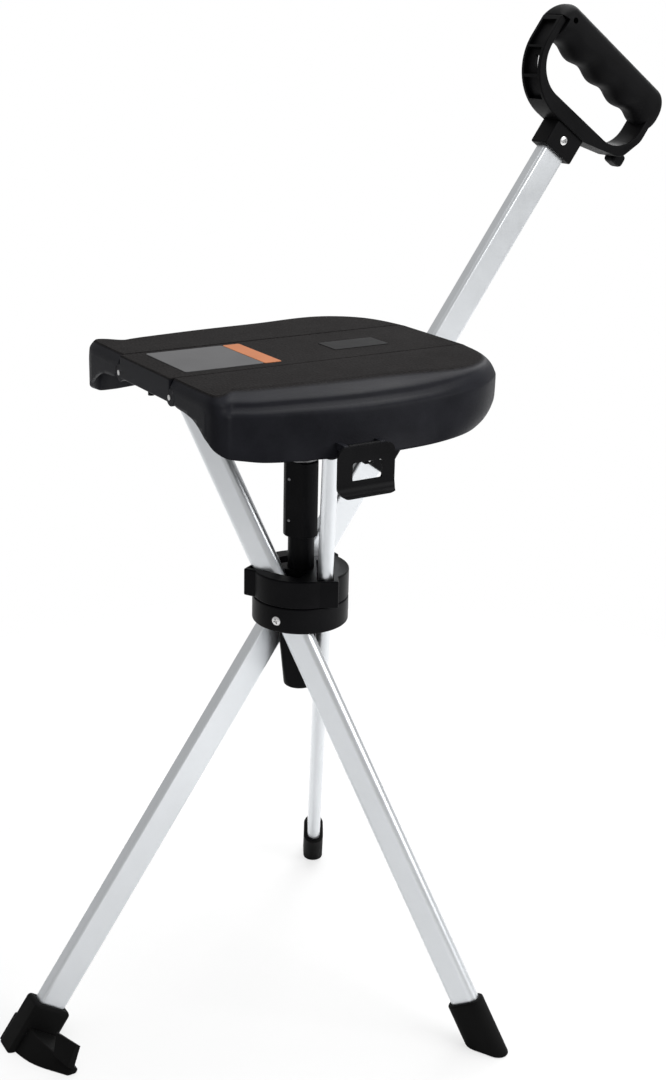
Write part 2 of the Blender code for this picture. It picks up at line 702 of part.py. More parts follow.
def knuckle(name, start, end, web_y, stop_y, sweep):
    """A hinge eye with the web that hangs it under the top plate, on the far side."""
    outline = [(web_y, UNDER + SINK), (web_y, HINGE_Z - KNUCKLE_RADIUS / 2)]
    outline += arc((HINGE_Y, HINGE_Z), KNUCKLE_RADIUS, *sweep)
    outline.append((stop_y, UNDER + SINK))
    return outline_mesh(name, [outline], end - start, along_x(start, end))


def mirrored(mesh):
    """The same piece on the near side."""
    mesh.transform(Matrix.Diagonal((1.0, -1.0, 1.0, 1.0)))
    mesh.flip_normals()
    return mesh


def on_side(mesh, sign):
    return mesh if sign > 0 else mirrored(mesh)


PANEL_WEB = HINGE_Y - KNUCKLE_RADIUS - SIDE_WALL
for side, sign in SIDES:
    for span in HINGE_SPANS:
        for start, end in panel_knuckles(span):
            eye = knuckle("knuckle", start, end, PANEL_WEB, HINGE_Y - KNUCKLE_RADIUS, (215, 460))
            join(panel, moved(on_side(eye, sign), seat_pivot))
        bore = rod("pin_bore", (span[0] - BORE_OVERRUN, HINGE_Y, HINGE_Z),
                   (span[1] + BORE_OVERRUN, HINGE_Y, HINGE_Z), PIN_FREE)
        cut(panel, moved(on_side(bore, sign), seat_pivot))

# Seat lugs beside the collar's ear, the pad on the post and the way for the long tube
LUG_INNER = EAR_HALF + GAP
LUG_OUTER = LUG_INNER + LUG_THICK
pivot_x = seat_pivot_place.x
pivot_z = seat_pivot_place.z
lug_outline = [(pivot_x - EAR_ROUND, UNDER + SINK)]
lug_outline += arc((pivot_x, pivot_z), EAR_ROUND, 180, 360)
lug_outline.append((pivot_x + EAR_ROUND, UNDER + SINK))
for sign in (-1.0, 1.0):
    middle = LEG_OFFSET + sign * (LUG_INNER + LUG_OUTER) / 2
    join(panel, moved(outline_mesh("lug", [lug_outline], LUG_THICK, upright(middle)), seat_pivot))
join(panel, moved(rod("post_pad", (0, 0, SEAT_TOP - POST_PAD_DROP), (0, 0, UNDER + SINK), POST_PAD_RADIUS),
                  seat_pivot))
NOTCH_HALF = TUBE_THICK / 2 + COLLAR_WALL + GAP
cut(panel,
    moved(rod("seat_pin_bore", (pivot_x, LEG_OFFSET - 2 * LUG_OUTER, pivot_z),
              (pivot_x, LEG_OFFSET + 2 * LUG_OUTER, pivot_z), SEAT_PIN_RADIUS + GAP), seat_pivot),
    moved(block("tube_notch", (SEAT_BACK - REAR_ROUND, LEG_OFFSET - NOTCH_HALF, SEAT_TOP - 2 * REAR_DROP),
                (SEAT_BACK + SEAM, LEG_OFFSET + NOTCH_HALF, SEAT_TOP - 2 * SEAT_WALL)), seat_pivot))
new_piece("front_peg", moved(rod(
    "front_peg", (PEG_X, PEG_Y, SEAT_TOP - FRONT_LIP - PEG_DROP), (PEG_X, PEG_Y, UNDER - GAP), PEG_RADIUS),
    seat_pivot), RUBBER, seat_pivot)
for side, sign in SIDES:
    for place, span in (("front", FRONT_HINGE), ("rear", REAR_HINGE)):
        pin = rod("pin", (span[0] - SEAM / 2, sign * HINGE_Y, HINGE_Z), (span[1], sign * HINGE_Y, HINGE_Z),
                  HINGE_PIN_RADIUS)
        new_piece(f"{side}_{place}_hinge_pin", moved(pin, seat_pivot), STEEL, seat_pivot)

# Flaps
SEAM_Y = CENTRE_HALF + SEAM
FLAP_WEB = HINGE_Y + KNUCKLE_RADIUS + SIDE_WALL


def flap_rim():
    """The outer edge of the far flap, from its front at the seam to its back at the seam."""
    line = [Vector((SEAT_FRONT, SEAM_Y))]
    line += smooth_line([
        (SEAT_FRONT, FLAP_HALF - 0.0375), (SEAT_FRONT + 0.0018, FLAP_HALF - 0.0295),
        (SEAT_FRONT + 0.0072, FLAP_HALF - 0.0235), (SEAT_FRONT + 0.0165, FLAP_HALF - 0.0195),
        (-0.0770, FLAP_HALF - 0.0099), (-0.0140, FLAP_HALF), (0.0550, FLAP_HALF - 0.0085),
        (SEAT_BACK - 0.0185, FLAP_HALF - 0.0350), (SEAT_BACK - 0.0045, FLAP_HALF - 0.0600),
                         (SEAT_BACK, SEAM_Y)])
    return line


def shoulder_steps():
    """Side and rear sections of a flap from the bottom up: inset, drop, and share of the wall below."""
    side = [(0.0, SKIRT_DROP), (0.05 * SHOULDER, 0.88 * SKIRT_DROP), (0.11 * SHOULDER, 0.70 * SKIRT_DROP),
            (RIDGE_INSET - 0.0030, RIDGE_DROP + 0.0042), (RIDGE_INSET - 0.0019, RIDGE_DROP + 0.0015),
            (RIDGE_INSET, RIDGE_DROP), (RIDGE_INSET + 0.0025, RIDGE_DROP - 0.0011),
            (RIDGE_INSET + 0.0055, RIDGE_DROP - 0.0029), (RIDGE_INSET + 0.0080, RIDGE_DROP - 0.0057),
            (SHOULDER - 0.0045, 0.0024), (SHOULDER - 0.0025, 0.0006), (SHOULDER, 0.0)]
    rear = [(REAR_TUCK, SKIRT_DROP), (0.45 * REAR_TUCK, 0.88 * SKIRT_DROP),
            (0.11 * REAR_TUCK, 0.70 * SKIRT_DROP)]
    count = len(side) - len(rear)
    for k in range(1, count + 1):
        angle = pi / 2 * k / count
        rear.append((REAR_INSET * (1.0 - cos(angle)), REAR_FALL * (1.0 - sin(angle))))
    lower = [0.0, 0.0, 0.0, 0.0, 0.6, 0.9, 0.9, 0.7, 0.6, 0.8, 1.0, 1.0]
    return list(zip(side, rear, lower))


def flap_ring(side, rear, lower, wall, seam_y):
    """One ring of a flap, moved inwards from its edge; the front stays steep and the rear is rounded."""
    line = flap_rim()
    ring = []
    for i, point in enumerate(line):
        if i == 0:
            normal = Vector((-1.0, 0.0))
        elif i == len(line) - 1:
            normal = Vector((1.0, 0.0))
        else:
            step = line[i + 1] - line[i - 1]
            normal = Vector((-step.y, step.x)).normalized()
        share = min(1.0, max(0.0, (point.x - REAR_BLEND[0]) / (REAR_BLEND[1] - REAR_BLEND[0])))
        blend = share * share * (3.0 - 2.0 * share)
        inset = side[0] + (rear[0] - side[0]) * blend
        drop = side[1] + (rear[1] - side[1]) * blend
        steepness = 1.0 - FRONT_STEEP * max(0.0, -normal.x)
        place = point - normal * (inset * steepness + wall)
        end = i in (0, len(line) - 1)
        ring.append((place.x, seam_y if end else place.y, SEAT_TOP - drop - wall * lower))
    return ring


def flap_shape(inner):
    wall = SEAT_WALL if inner else 0.0
    seam_y = SEAM_Y - SEAM / 2 if inner else SEAM_Y
    rings = [flap_ring(side, rear, lower, wall, seam_y) for side, rear, lower in shoulder_steps()]
    if inner:
        rings[0] = [(x, y, z - SINK) for x, y, z in rings[0]]
    return loft("flap", rings)


def arch_outline():
    """The arch in a flap's end walls that leaves room for the folded legs, in (y, z)."""
    edge = smooth_line([(HINGE_Y + reach, SEAT_TOP - drop) for reach, drop in ARCH_EDGE])
    foot = SEAT_TOP - SKIRT_DROP - SINK
    return [(SEAM_Y - SINK, edge[0].y)] + edge + [(edge[-1].x, foot), (SEAM_Y - SINK, foot)]


for side, sign in SIDES:
    pivot = flap_hinge[side]

    def fit(mesh):
        return moved(on_side(mesh, sign), pivot)

    flap = new_piece(f"{side}_flap", fit(flap_shape(False)), SEAT_PLASTIC, pivot)
    arch = outline_mesh("arch", [arch_outline()], 1.2 * (SEAT_BACK - SEAT_FRONT),
                        along_x(SEAT_FRONT, SEAT_BACK))
    cut(flap, fit(flap_shape(True)), fit(arch))
    for span in HINGE_SPANS:
        for start, end in panel_knuckles(span):
            cut(flap, fit(rod("knuckle_way", (start - SLIDE_GAP, HINGE_Y, HINGE_Z),
                              (end + SLIDE_GAP, HINGE_Y, HINGE_Z),
                              KNUCKLE_RADIUS + SLIDE_GAP)))
        for start, end in flap_knuckles(span):
            join(flap, fit(knuckle("knuckle", start, end, FLAP_WEB, SEAM_Y + SINK, (-35, -280))))
            cut(flap, fit(rod("pin_bore", (start - SINK, HINGE_Y, HINGE_Z), (end + SINK, HINGE_Y, HINGE_Z),
                              PIN_FREE)))
    if side == "near":
        for start, end in EAR_SPANS:
            join(flap,
                 fit(block("latch_ear", (start, WALL_Y - 2 * SEAT_WALL, LATCH_AXIS_Z - LATCH_BARREL),
                           (end, LATCH_AXIS_Y, LATCH_AXIS_Z + LATCH_BARREL))),
                 fit(rod("latch_ear_end", (start, LATCH_AXIS_Y, LATCH_AXIS_Z),
                         (end, LATCH_AXIS_Y, LATCH_AXIS_Z),
                         LATCH_BARREL)))
        cut(flap, fit(rod("latch_bore", (LATCH_LEFT, LATCH_AXIS_Y, LATCH_AXIS_Z),
                          (LATCH_RIGHT, LATCH_AXIS_Y, LATCH_AXIS_Z), LATCH_PIN_RADIUS + GAP)))
        new_piece("latch_pin", fit(rod(
            "latch_pin", (EAR_SPANS[0][0], LATCH_AXIS_Y, LATCH_AXIS_Z),
                                       (EAR_SPANS[1][1], LATCH_AXIS_Y, LATCH_AXIS_Z),
            LATCH_PIN_RADIUS)), STEEL, pivot)

# Latch plate, drawn on the far side and mirrored to the near flap
PLATE_IN = LATCH_AXIS_Y + LATCH_BARREL + GAP
latch_face = [(PLATE_IN, LATCH_TOP), (PLATE_IN, LATCH_BEND)]
latch_back = [(PLATE_IN + LATCH_THICK, LATCH_TOP), (PLATE_IN + LATCH_THICK, LATCH_BEND)]
LIP_CENTRE = PLATE_IN + LATCH_THICK + LATCH_LIP
for k in range(1, 5):
    angle = LIP_SWEEP * k / 4
    latch_face.append((LIP_CENTRE - (LATCH_LIP + LATCH_THICK) * cos(angle),
                       LATCH_BEND - (LATCH_LIP + LATCH_THICK) * sin(angle)))
    latch_back.append((LIP_CENTRE - LATCH_LIP * cos(angle), LATCH_BEND - LATCH_LIP * sin(angle)))
LATCH_WIDTH = LATCH_RIGHT - LATCH_LEFT
LATCH_LOW = LATCH_BEND - (LATCH_LIP + LATCH_THICK) * sin(LIP_SWEEP)
latch = new_piece("latch_plate", moved(mirrored(outline_mesh(
    "latch_plate", [latch_face + latch_back[::-1]], LATCH_WIDTH, along_x(LATCH_LEFT, LATCH_RIGHT))),
                                       latch_hinge),
    SEAT_PLASTIC, latch_hinge)
frontal = rounded_rectangle(LATCH_WIDTH - 2 * GAP, LATCH_TOP - LATCH_LOW - 2 * GAP, LATCH_ROUND, 5)
middle = ((LATCH_LEFT + LATCH_RIGHT) / 2, (LATCH_TOP + LATCH_LOW) / 2)
frontal_mesh = outline_mesh("frontal", [[(x + middle[0], z + middle[1]) for x, z in frontal]], 4 * LATCH_LIP,
                            upright(LIP_CENTRE))
boolean(latch, cutter("latch_plate_frontal", moved(mirrored(frontal_mesh), latch_hinge), latch_hinge),
        "INTERSECT")
barrel_start = EAR_SPANS[0][1] + GAP
barrel_end = EAR_SPANS[1][0] - GAP
barrel_outline = arc((LATCH_AXIS_Y, LATCH_AXIS_Z), LATCH_BARREL, 45, 315, 8)
barrel_outline += [(PLATE_IN + LATCH_THICK / 2, barrel_outline[-1][1]),
                   (PLATE_IN + LATCH_THICK / 2, barrel_outline[0][1])]
join(latch, moved(mirrored(outline_mesh(
    "barrel", [barrel_outline], barrel_end - barrel_start, along_x(barrel_start, barrel_end))), latch_hinge))
window_left = LATCH_LEFT + WINDOW_SIDE
window_low = LATCH_BEND + WINDOW_RISE
cut(latch,
    moved(mirrored(block("window", (window_left, PLATE_IN - SINK, window_low),
                         (window_left + WINDOW_WIDTH, PLATE_IN + 2 * LATCH_THICK,
                          window_low + WINDOW_HEIGHT))), latch_hinge),
    moved(mirrored(rod("bore", (barrel_start - SINK, LATCH_AXIS_Y, LATCH_AXIS_Z),
                       (barrel_end + SINK, LATCH_AXIS_Y, LATCH_AXIS_Z), LATCH_PIN_RADIUS + GAP)),
          latch_hinge))

# Collar on the long tube


def on_collar(mesh):
    """Long-leg mesh brought into the collar's axes."""
    mesh.transform(Matrix.Translation(-seat_pivot_local))
    return mesh


COLLAR_HALF = TUBE_WIDTH / 2 + COLLAR_WALL
COLLAR_SIDE = TUBE_THICK / 2 + COLLAR_WALL
COLLAR_TOP = PIVOT_ALONG + COLLAR_RISE
collar = new_piece("seat_collar", on_collar(block(
    "seat_collar", (-COLLAR_HALF, -COLLAR_SIDE, COLLAR_LOW), (COLLAR_HALF, COLLAR_SIDE, COLLAR_TOP),
    COLLAR_EDGE)),
    PLASTIC, collar_slide)
join(collar,
     on_collar(block("ear", (COLLAR_HALF - SINK, -EAR_HALF, PIVOT_ALONG - EAR_ROUND),
                     (SEAT_PIVOT_FRONT, EAR_HALF, PIVOT_ALONG + EAR_ROUND))),
     on_collar(rod("ear_end", (SEAT_PIVOT_FRONT, -EAR_HALF, PIVOT_ALONG),
                   (SEAT_PIVOT_FRONT, EAR_HALF, PIVOT_ALONG),
                   EAR_ROUND)))
COLLAR_SCREW_Z = COLLAR_LOW + COLLAR_SCREW_RISE
COLLAR_SCREW_DEEP = TUBE_THICK / 2 + GAP + SINK
cut(collar,
    on_collar(tube_core("bore", LONG_CORNER, COLLAR_LOW - SINK, COLLAR_TOP + SINK, GAP)),
    on_collar(rod("pin_bore", (SEAT_PIVOT_FRONT, -2 * EAR_HALF, PIVOT_ALONG),
                  (SEAT_PIVOT_FRONT, 2 * EAR_HALF, PIVOT_ALONG),
                  SEAT_PIN_RADIUS + GAP)),
    on_collar(rod("screw_bore", (0, COLLAR_SCREW_DEEP, COLLAR_SCREW_Z),
                  (0, COLLAR_SIDE + SINK, COLLAR_SCREW_Z),
                  SCREW_HEAD_RADIUS + GAP)))
new_piece("collar_screw", on_collar(rod(
    "collar_screw", (0, COLLAR_SCREW_DEEP + GAP, COLLAR_SCREW_Z), (0, COLLAR_SIDE + GAP, COLLAR_SCREW_Z),
    SCREW_HEAD_RADIUS)), STEEL, collar_slide)
SEAT_PIN_HALF = LUG_OUTER + SINK
new_piece("seat_pivot_pin", on_collar(rod(
    "seat_pivot_pin", (SEAT_PIVOT_FRONT, -SEAT_PIN_HALF, PIVOT_ALONG),
                                          (SEAT_PIVOT_FRONT, SEAT_PIN_HALF, PIVOT_ALONG),
    SEAT_PIN_RADIUS)), STEEL, collar_slide)

# Handle
frame_outline = round_corners([
    (HANDLE_HALF, ARM_TOP, 0.0), (HANDLE_HALF, HANDLE_LOW, HANDLE_ROUND), (-SOCKET_HALF, HANDLE_LOW, 0.0),
                               HEEL,
    (-HANDLE_HALF, *HEEL_TOP), (-HANDLE_HALF, GRIP_LOW, 0.0), (-OPENING_HALF, GRIP_LOW, 0.0),
    (-OPENING_HALF, OPENING_LOW, OPENING_ROUND), (OPENING_HALF, OPENING_LOW, OPENING_ROUND),
    (OPENING_HALF, ARM_TOP, 0.0)], 6)
handle = new_piece("handle_frame", outline_mesh("handle_frame", [frame_outline], HANDLE_THICK, upright()),
                   PLASTIC,
                   leg_pivot["long"])
screw_x, screw_z = HANDLE_SCREW
SOCKET_ROOM = TUBE_THICK / 2 + GAP + SINK
nub_width, nub_deep, nub_high = NUB
heel_x, heel_z, heel_round = HEEL
nub_x = heel_x - NUB_SHIFT
join(handle,
     block("socket", (-SOCKET_HALF, -SOCKET_THICK / 2, SOCKET_LOW),
           (SOCKET_HALF, SOCKET_THICK / 2, HANDLE_LOW + SINK)),
     block("nub", (nub_x - nub_width / 2, -nub_deep / 2, heel_z - NUB_DROP),
           (nub_x + nub_width / 2, nub_deep / 2, heel_z - NUB_DROP + nub_high), nub_width / 4))
round_centre = (HANDLE_HALF - HANDLE_ROUND, HANDLE_LOW + HANDLE_ROUND)


def corner_band(name, sweep, inner, outer, depth, middle=0.0):
    """A stretch of the handle's rounded corner, between two angles and two radii."""
    start, end = sweep
    outline = arc(round_centre, outer, start, end, 6) + arc(round_centre, inner, end, start, 6)
    return outline_mesh(name, [outline], depth, upright(middle))


CHANNEL_FLOOR = HANDLE_ROUND - CHANNEL_DEPTH
cut(handle,
    tube_core("bore", LONG_CORNER, SOCKET_LOW - SINK, LONG_TUBE_TOP + GAP, GAP),
    rod("screw_bore", (screw_x, SOCKET_ROOM, screw_z), (screw_x, SOCKET_THICK, screw_z),
        SCREW_HEAD_RADIUS + GAP),
    block("channel", (HANDLE_HALF - CHANNEL_DEPTH, -CHANNEL_HALF, round_centre[1]),
          (HANDLE_HALF + SINK, CHANNEL_HALF, round_centre[1] + CHANNEL_RISE)))
for sweep in CHANNEL_SWEEPS:
    cut(handle, corner_band("channel", sweep, CHANNEL_FLOOR, HANDLE_ROUND + SINK, 2 * CHANNEL_HALF))
cut(handle, corner_band("window", WINDOW_SWEEP, HANDLE_ROUND - 2 * ARM, CHANNEL_FLOOR + SINK, WINDOW_DEEP,
                        WINDOW_DEEP / 2))
new_piece("handle_screw", rod(
    "handle_screw", (screw_x, SOCKET_ROOM + GAP, screw_z), (screw_x, SOCKET_THICK / 2 + GAP, screw_z),
    SCREW_HEAD_RADIUS), STEEL, leg_pivot["long"])

GRIP_STATIONS = 30
GRIP_RIGHT = HANDLE_HALF + 0.0020
GRIP_LEFT_ROUND = 0.0120
GRIP_RIGHT_ROUND = 0.0100
GRIP_END_HIGH = 0.58
GRIP_END_THICK = 0.72
grip_rings = []
for k in range(GRIP_STATIONS + 1):
    place = (HANDLE_HALF + GRIP_RIGHT) * k / GRIP_STATIONS - GRIP_RIGHT
    left = (place - HANDLE_HALF + GRIP_LEFT_ROUND) / GRIP_LEFT_ROUND
    right = (GRIP_RIGHT_ROUND - GRIP_RIGHT - place) / GRIP_RIGHT_ROUND
    end = sqrt(1.0 - min(1.0, max(0.0, left, right) ** 2))
    wave = 0.0
    if abs(place) < OPENING_HALF:
        wave = GRIP_WAVE * (1.0 + cos(pi * GRIP_WAVES * place / OPENING_HALF + pi))
    low = GRIP_LOW + GAP + wave
    high = low - wave + (HANDLE_TOP - GRIP_LOW) * (GRIP_END_HIGH + (1.0 - GRIP_END_HIGH) * end)
    half = GRIP_THICK / 2 * (GRIP_END_THICK + (1.0 - GRIP_END_THICK) * end)
    section = rounded_rectangle(2 * half, high - low, 0.9 * min(half, (high - low) / 2), 3)
    grip_rings.append([(place, y, (low + high) / 2 + z) for y, z in section])
grip = new_piece("handle_grip", loft("handle_grip", grip_rings), RUBBER, leg_pivot["long"])
cut(grip, block("arm_seat", (OPENING_HALF - GAP, -GRIP_THICK, GRIP_LOW - SINK),
                (HANDLE_HALF + SINK, GRIP_THICK, ARM_TOP + GAP)))

# The model space's origin goes to the middle of the assembly on the floor
bpy.context.view_layer.update()
graph = bpy.context.evaluated_depsgraph_get()
points = []
for piece in parts.objects:
    if piece.type == "MESH":
        ready = piece.evaluated_get(graph)
        points += [ready.matrix_world @ vertex.co for vertex in ready.data.vertices]
middle_x = (min(p.x for p in points) + max(p.x for p in points)) / 2
middle_y = (min(p.y for p in points) + max(p.y for p in points)) / 2
root.location = (-middle_x, -middle_y, -min(p.z for p in points))
bpy.context.view_layer.update()
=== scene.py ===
"""Looks of the folding walking stick seat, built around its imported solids."""
import json
from math import cos, pi, radians, sin, sqrt

import bmesh
import bpy
from mathutils import Matrix, Vector


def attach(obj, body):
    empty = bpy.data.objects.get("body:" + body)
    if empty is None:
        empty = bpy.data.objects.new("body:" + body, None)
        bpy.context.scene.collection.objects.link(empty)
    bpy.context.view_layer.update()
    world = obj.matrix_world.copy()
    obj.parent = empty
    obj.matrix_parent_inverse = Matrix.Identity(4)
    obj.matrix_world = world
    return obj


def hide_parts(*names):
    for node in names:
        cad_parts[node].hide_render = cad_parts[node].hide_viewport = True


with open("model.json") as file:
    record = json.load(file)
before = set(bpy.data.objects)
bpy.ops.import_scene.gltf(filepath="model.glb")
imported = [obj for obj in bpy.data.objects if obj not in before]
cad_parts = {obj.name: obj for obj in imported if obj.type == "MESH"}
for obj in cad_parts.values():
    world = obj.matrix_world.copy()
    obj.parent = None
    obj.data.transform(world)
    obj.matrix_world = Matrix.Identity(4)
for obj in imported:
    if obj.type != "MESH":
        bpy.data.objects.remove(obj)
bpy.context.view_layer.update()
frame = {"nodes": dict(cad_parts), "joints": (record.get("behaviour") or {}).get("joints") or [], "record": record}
nodes = frame["nodes"]
record = frame["record"]
joints = {joint["name"]: joint for joint in frame["joints"]}
scene = bpy.context.scene
scene.view_settings.view_transform = "Standard"

# The hub's axis on the floor, from the three leg pivots
LEG_JOINTS = {"long": "fold", "near": "near_leg_fold", "far": "far_leg_fold"}
pivots = [Vector(joints[name]["pos_m"]) for name in LEG_JOINTS.values()]
HUB = sum(pivots, Vector()) / len(pivots)
PIVOT_Z = HUB.z
HUB.z = 0.0
BODY_OF = {node: body for body, held in record["behaviour"]["bodies"].items() for node in held}

# Clearances shared with the solids
GAP = 0.0003
SLIDE_GAP = 0.0006
SINK = 0.0010
SMALL_EDGE = 0.0004

# Sizes of the tubes
LEG_OFFSET = 0.0171
LEG_TURN = {"long": radians(180), "near": radians(300), "far": radians(60)}
LEG_LEAN = {"long": radians(35.2), "near": radians(29.35), "far": radians(29.35)}
TUBE_WIDTH = 0.0220
TUBE_THICK = 0.0105
TUBE_WALL = 0.0013
TUBE_CORNER = {"long": 0.0024, "near": 0.0050, "far": 0.0050}
TUBE_SPAN = {"long": (-0.3500, 0.4000), "near": (-0.3330, 0.1625), "far": (-0.3330, 0.1625)}

# Sizes of the feet, with the rim's corners as a width and a distance short of its reach
BOOT_TOP = -0.3060
BOOT_WIDTH = 0.0280
BOOT_THICK = 0.0164
BOOT_DEEP = -0.3700
BOOT_EDGE = 0.0014
FOOT_TOP = -0.3380
FOOT_HALF = 0.0155
FOOT_THICK = 0.0190
FOOT_BASE_TOP = -0.3560
FOOT_DEEP = -0.4100
FOOT_SIDE = 0.0111
FOOT_REACH = 0.0516
FOOT_FRONT = 0.0150
FOOT_BEND = (0.0075, 0.0250)
FOOT_TIP = -0.0070
FOOT_BACK = 0.0125
FOOT_EDGE = 0.0012
FOOT_SLEEVE_EDGE = 0.0030
RIM_REACH = FOOT_REACH - GAP
RIM_TOP = -0.3400
RIM_LOW_CORNERS = ((0.0035, 0.0118), (-0.0035, 0.0), (-0.0088, 0.0), (-0.0005, 0.0118))
RIM_TOP_CORNERS = ((0.0128, 0.0101), (0.0, 0.0), (-0.0036, 0.0), (0.0106, 0.0116))
UNDERGROUND_HALF = 0.5
UNDERGROUND_DEEP = 0.2

# Sizes of the hub
HUB_RADIUS = 0.0347
HUB_DROP = 0.0083
HUB_LOWER_HEIGHT = 0.0186
HUB_UPPER_HEIGHT = 0.0204
HUB_LOW = PIVOT_Z - HUB_DROP
HUB_PARTING = HUB_LOW + HUB_LOWER_HEIGHT
HUB_TOP = HUB_PARTING + HUB_UPPER_HEIGHT
HUB_EDGE = 0.0012
HUB_STEPS = 128
BULGE_WALL = 0.0034
BULGE_END = 0.0014
BULGE_EDGE = 0.0010
SLOT_HALF = TUBE_THICK / 2 + SLIDE_GAP
SCREW_HEAD_RADIUS = 0.0033
SCREW_HEAD_HEIGHT = 0.0018
SCREW_CROWN = 0.0005
SCREW_TURN = 0.4
CROSS_ARM = 0.62
CROSS_SLOT = 0.16
CROSS_FLOOR = 0.35

# Sizes of the post
POST_RADIUS = 0.0095
SLEEVE_RADIUS = 0.0130
SLEEVE_RISE = 0.0246
SLEEVE_LENGTH = 0.0550
SLEEVE_TRAVEL = 0.0200
SLEEVE_LOW = HUB_TOP + SLEEVE_RISE
SLEEVE_TOP = SLEEVE_LOW + SLEEVE_LENGTH
SLEEVE_FLAT = 0.0113
SLEEVE_RIM = 0.0007
POST_TOP = SLEEVE_TOP - SLEEVE_TRAVEL - SINK
WASHER_RADIUS = 0.0112
WASHER_THICK = 0.0016
WASHER_LOW = SLEEVE_TOP + GAP
WASHER_TOP = WASHER_LOW + WASHER_THICK
HEAD_RADIUS = 0.0085
HEAD_PAD_RADIUS = 0.0105
HEAD_PAD_THICK = 0.0060
HEAD_PAD_EDGE = 0.0010
TAIL_TOP_RADIUS = 0.0165
TAIL_END_RADIUS = 0.0112
TAIL_END_ROUND = 0.0020
TAIL_EDGE = 0.0005
TAIL_LENGTH = 0.0520
TAIL_TOP = HUB_LOW - 2 * GAP
TAIL_LOW = TAIL_TOP - TAIL_LENGTH
RIVET_RADIUS = 0.0011
RIVET_ACROSS = -0.0040
RIVET_HEIGHTS = (SLEEVE_TOP - 0.0125, SLEEVE_LOW + 0.0120)
RIVET_PROFILE = ((RIVET_RADIUS, -SINK), (RIVET_RADIUS, 0.00015), (0.7 * RIVET_RADIUS, 0.0004), (0.0, 0.0005))

# Sizes of the centre panel
SEAT_TOP = 0.4900
SEAT_FRONT = -0.1212
SEAT_BACK = 0.1155
CENTRE_HALF = 0.0377
SEAM = 0.0014
SEAM_Y = CENTRE_HALF + SEAM
SEAT_WALL = 0.0030
UNDER = SEAT_TOP - SEAT_WALL
PANEL_EDGE = 0.0011
FRONT_LIP = 0.0160
FRONT_EDGE = 0.0015
REAR_DROP = 0.0112
REAR_ROUND = 0.0120
POST_PAD_DROP = 0.0117
POST_PAD_RADIUS = 0.0095
COLLAR_WALL = 0.0035
EAR_HALF = 0.0056
EAR_ROUND = 0.0052
LUG_THICK = 0.0030
HINGE_DROP = 0.0123
HINGE_Y = CENTRE_HALF + SEAM / 2
HINGE_Z = SEAT_TOP - HINGE_DROP
HINGE_SPANS = ((SEAT_FRONT, -0.0850), (0.0350, 0.0720))
KNUCKLE_RADIUS = 0.0058
PANEL_EYE_SWEEP = (215, 460)
FLAP_EYE_SWEEP = (-35, -280)
SIDE_WALL = 0.0024
PLATE_SPAN = (-0.1050, -0.0475)
BAND_SPAN = (-0.0470, -0.0340)
PLATE_HALF = 0.0300
PLATE_MIDDLE = 0.0015
PLATE_CORNER = 0.0015
PAD_SPAN = (0.0160, 0.0600)
PAD_HALF = 0.0118
PAD_MIDDLE = -0.0030
PAD_CORNER = 0.0010
PLATE_EDGE = 0.0002
PLATE_RISE = 0.0004

# Sizes of the flaps, with the far one's edge in plan, its side as inset and drop, and its arch
FLAP_HALF = 0.1235
FLAP_CORNER_Y = FLAP_HALF - 0.0375
SKIRT_DROP = 0.0410
SKIRT_LOW = SEAT_TOP - SKIRT_DROP
SHOULDER = 0.0300
RIDGE_INSET = 0.0085
RIDGE_DROP = 0.0109
REAR_TUCK = 0.0050
REAR_INSET = 0.0120
REAR_FALL = 0.0160
REAR_BLEND = (0.0150, 0.0850)
FRONT_INSET = 0.0036
FRONT_ROUND = 0.0075
FRONT_STEPS = 40
SEAM_EASE = 0.0200
EVENING = 2600
EVEN_FROM = 0.0056
TOP_INSET = 0.0012
FLAP_MERGE = 0.00002
FLAP_WEB = HINGE_Y + KNUCKLE_RADIUS + SIDE_WALL
FLAP_SMOOTH = 32.0
FLAP_EDGE = ((SEAT_FRONT, FLAP_CORNER_Y), (SEAT_FRONT + 0.0018, FLAP_HALF - 0.0295),
             (SEAT_FRONT + 0.0072, FLAP_HALF - 0.0235), (SEAT_FRONT + 0.0165, FLAP_HALF - 0.0195),
             (-0.0770, FLAP_HALF - 0.0099), (-0.0140, FLAP_HALF), (0.0550, FLAP_HALF - 0.0085),
             (SEAT_BACK - 0.0185, FLAP_HALF - 0.0350), (SEAT_BACK - 0.0045, FLAP_HALF - 0.0600),
             (SEAT_BACK, SEAM_Y))
FLAP_SIDE = ((0.0, SKIRT_DROP), (0.05 * SHOULDER, 0.88 * SKIRT_DROP), (0.11 * SHOULDER, 0.70 * SKIRT_DROP),
             (RIDGE_INSET - 0.0030, RIDGE_DROP + 0.0042), (RIDGE_INSET - 0.0019, RIDGE_DROP + 0.0015),
             (RIDGE_INSET, RIDGE_DROP), (RIDGE_INSET + 0.0025, RIDGE_DROP - 0.0011),
             (RIDGE_INSET + 0.0055, RIDGE_DROP - 0.0029), (RIDGE_INSET + 0.0080, RIDGE_DROP - 0.0057),
             (SHOULDER - 0.0050, 0.0027), (SHOULDER + 0.0005, 0.0010), (SHOULDER + 0.0070, 0.0))
ARCH_EDGE = ((0.0007, 0.0060), (0.0040, 0.0072), (0.0060, 0.0100), (0.0066, 0.0140), (0.0090, 0.0166),
             (0.0240, 0.0178), (0.0360, 0.0208), (0.0500, 0.0290), (0.0575, 0.0345), (0.0630, 0.0383),
             (0.0690, 0.0404), (0.0740, SKIRT_DROP))

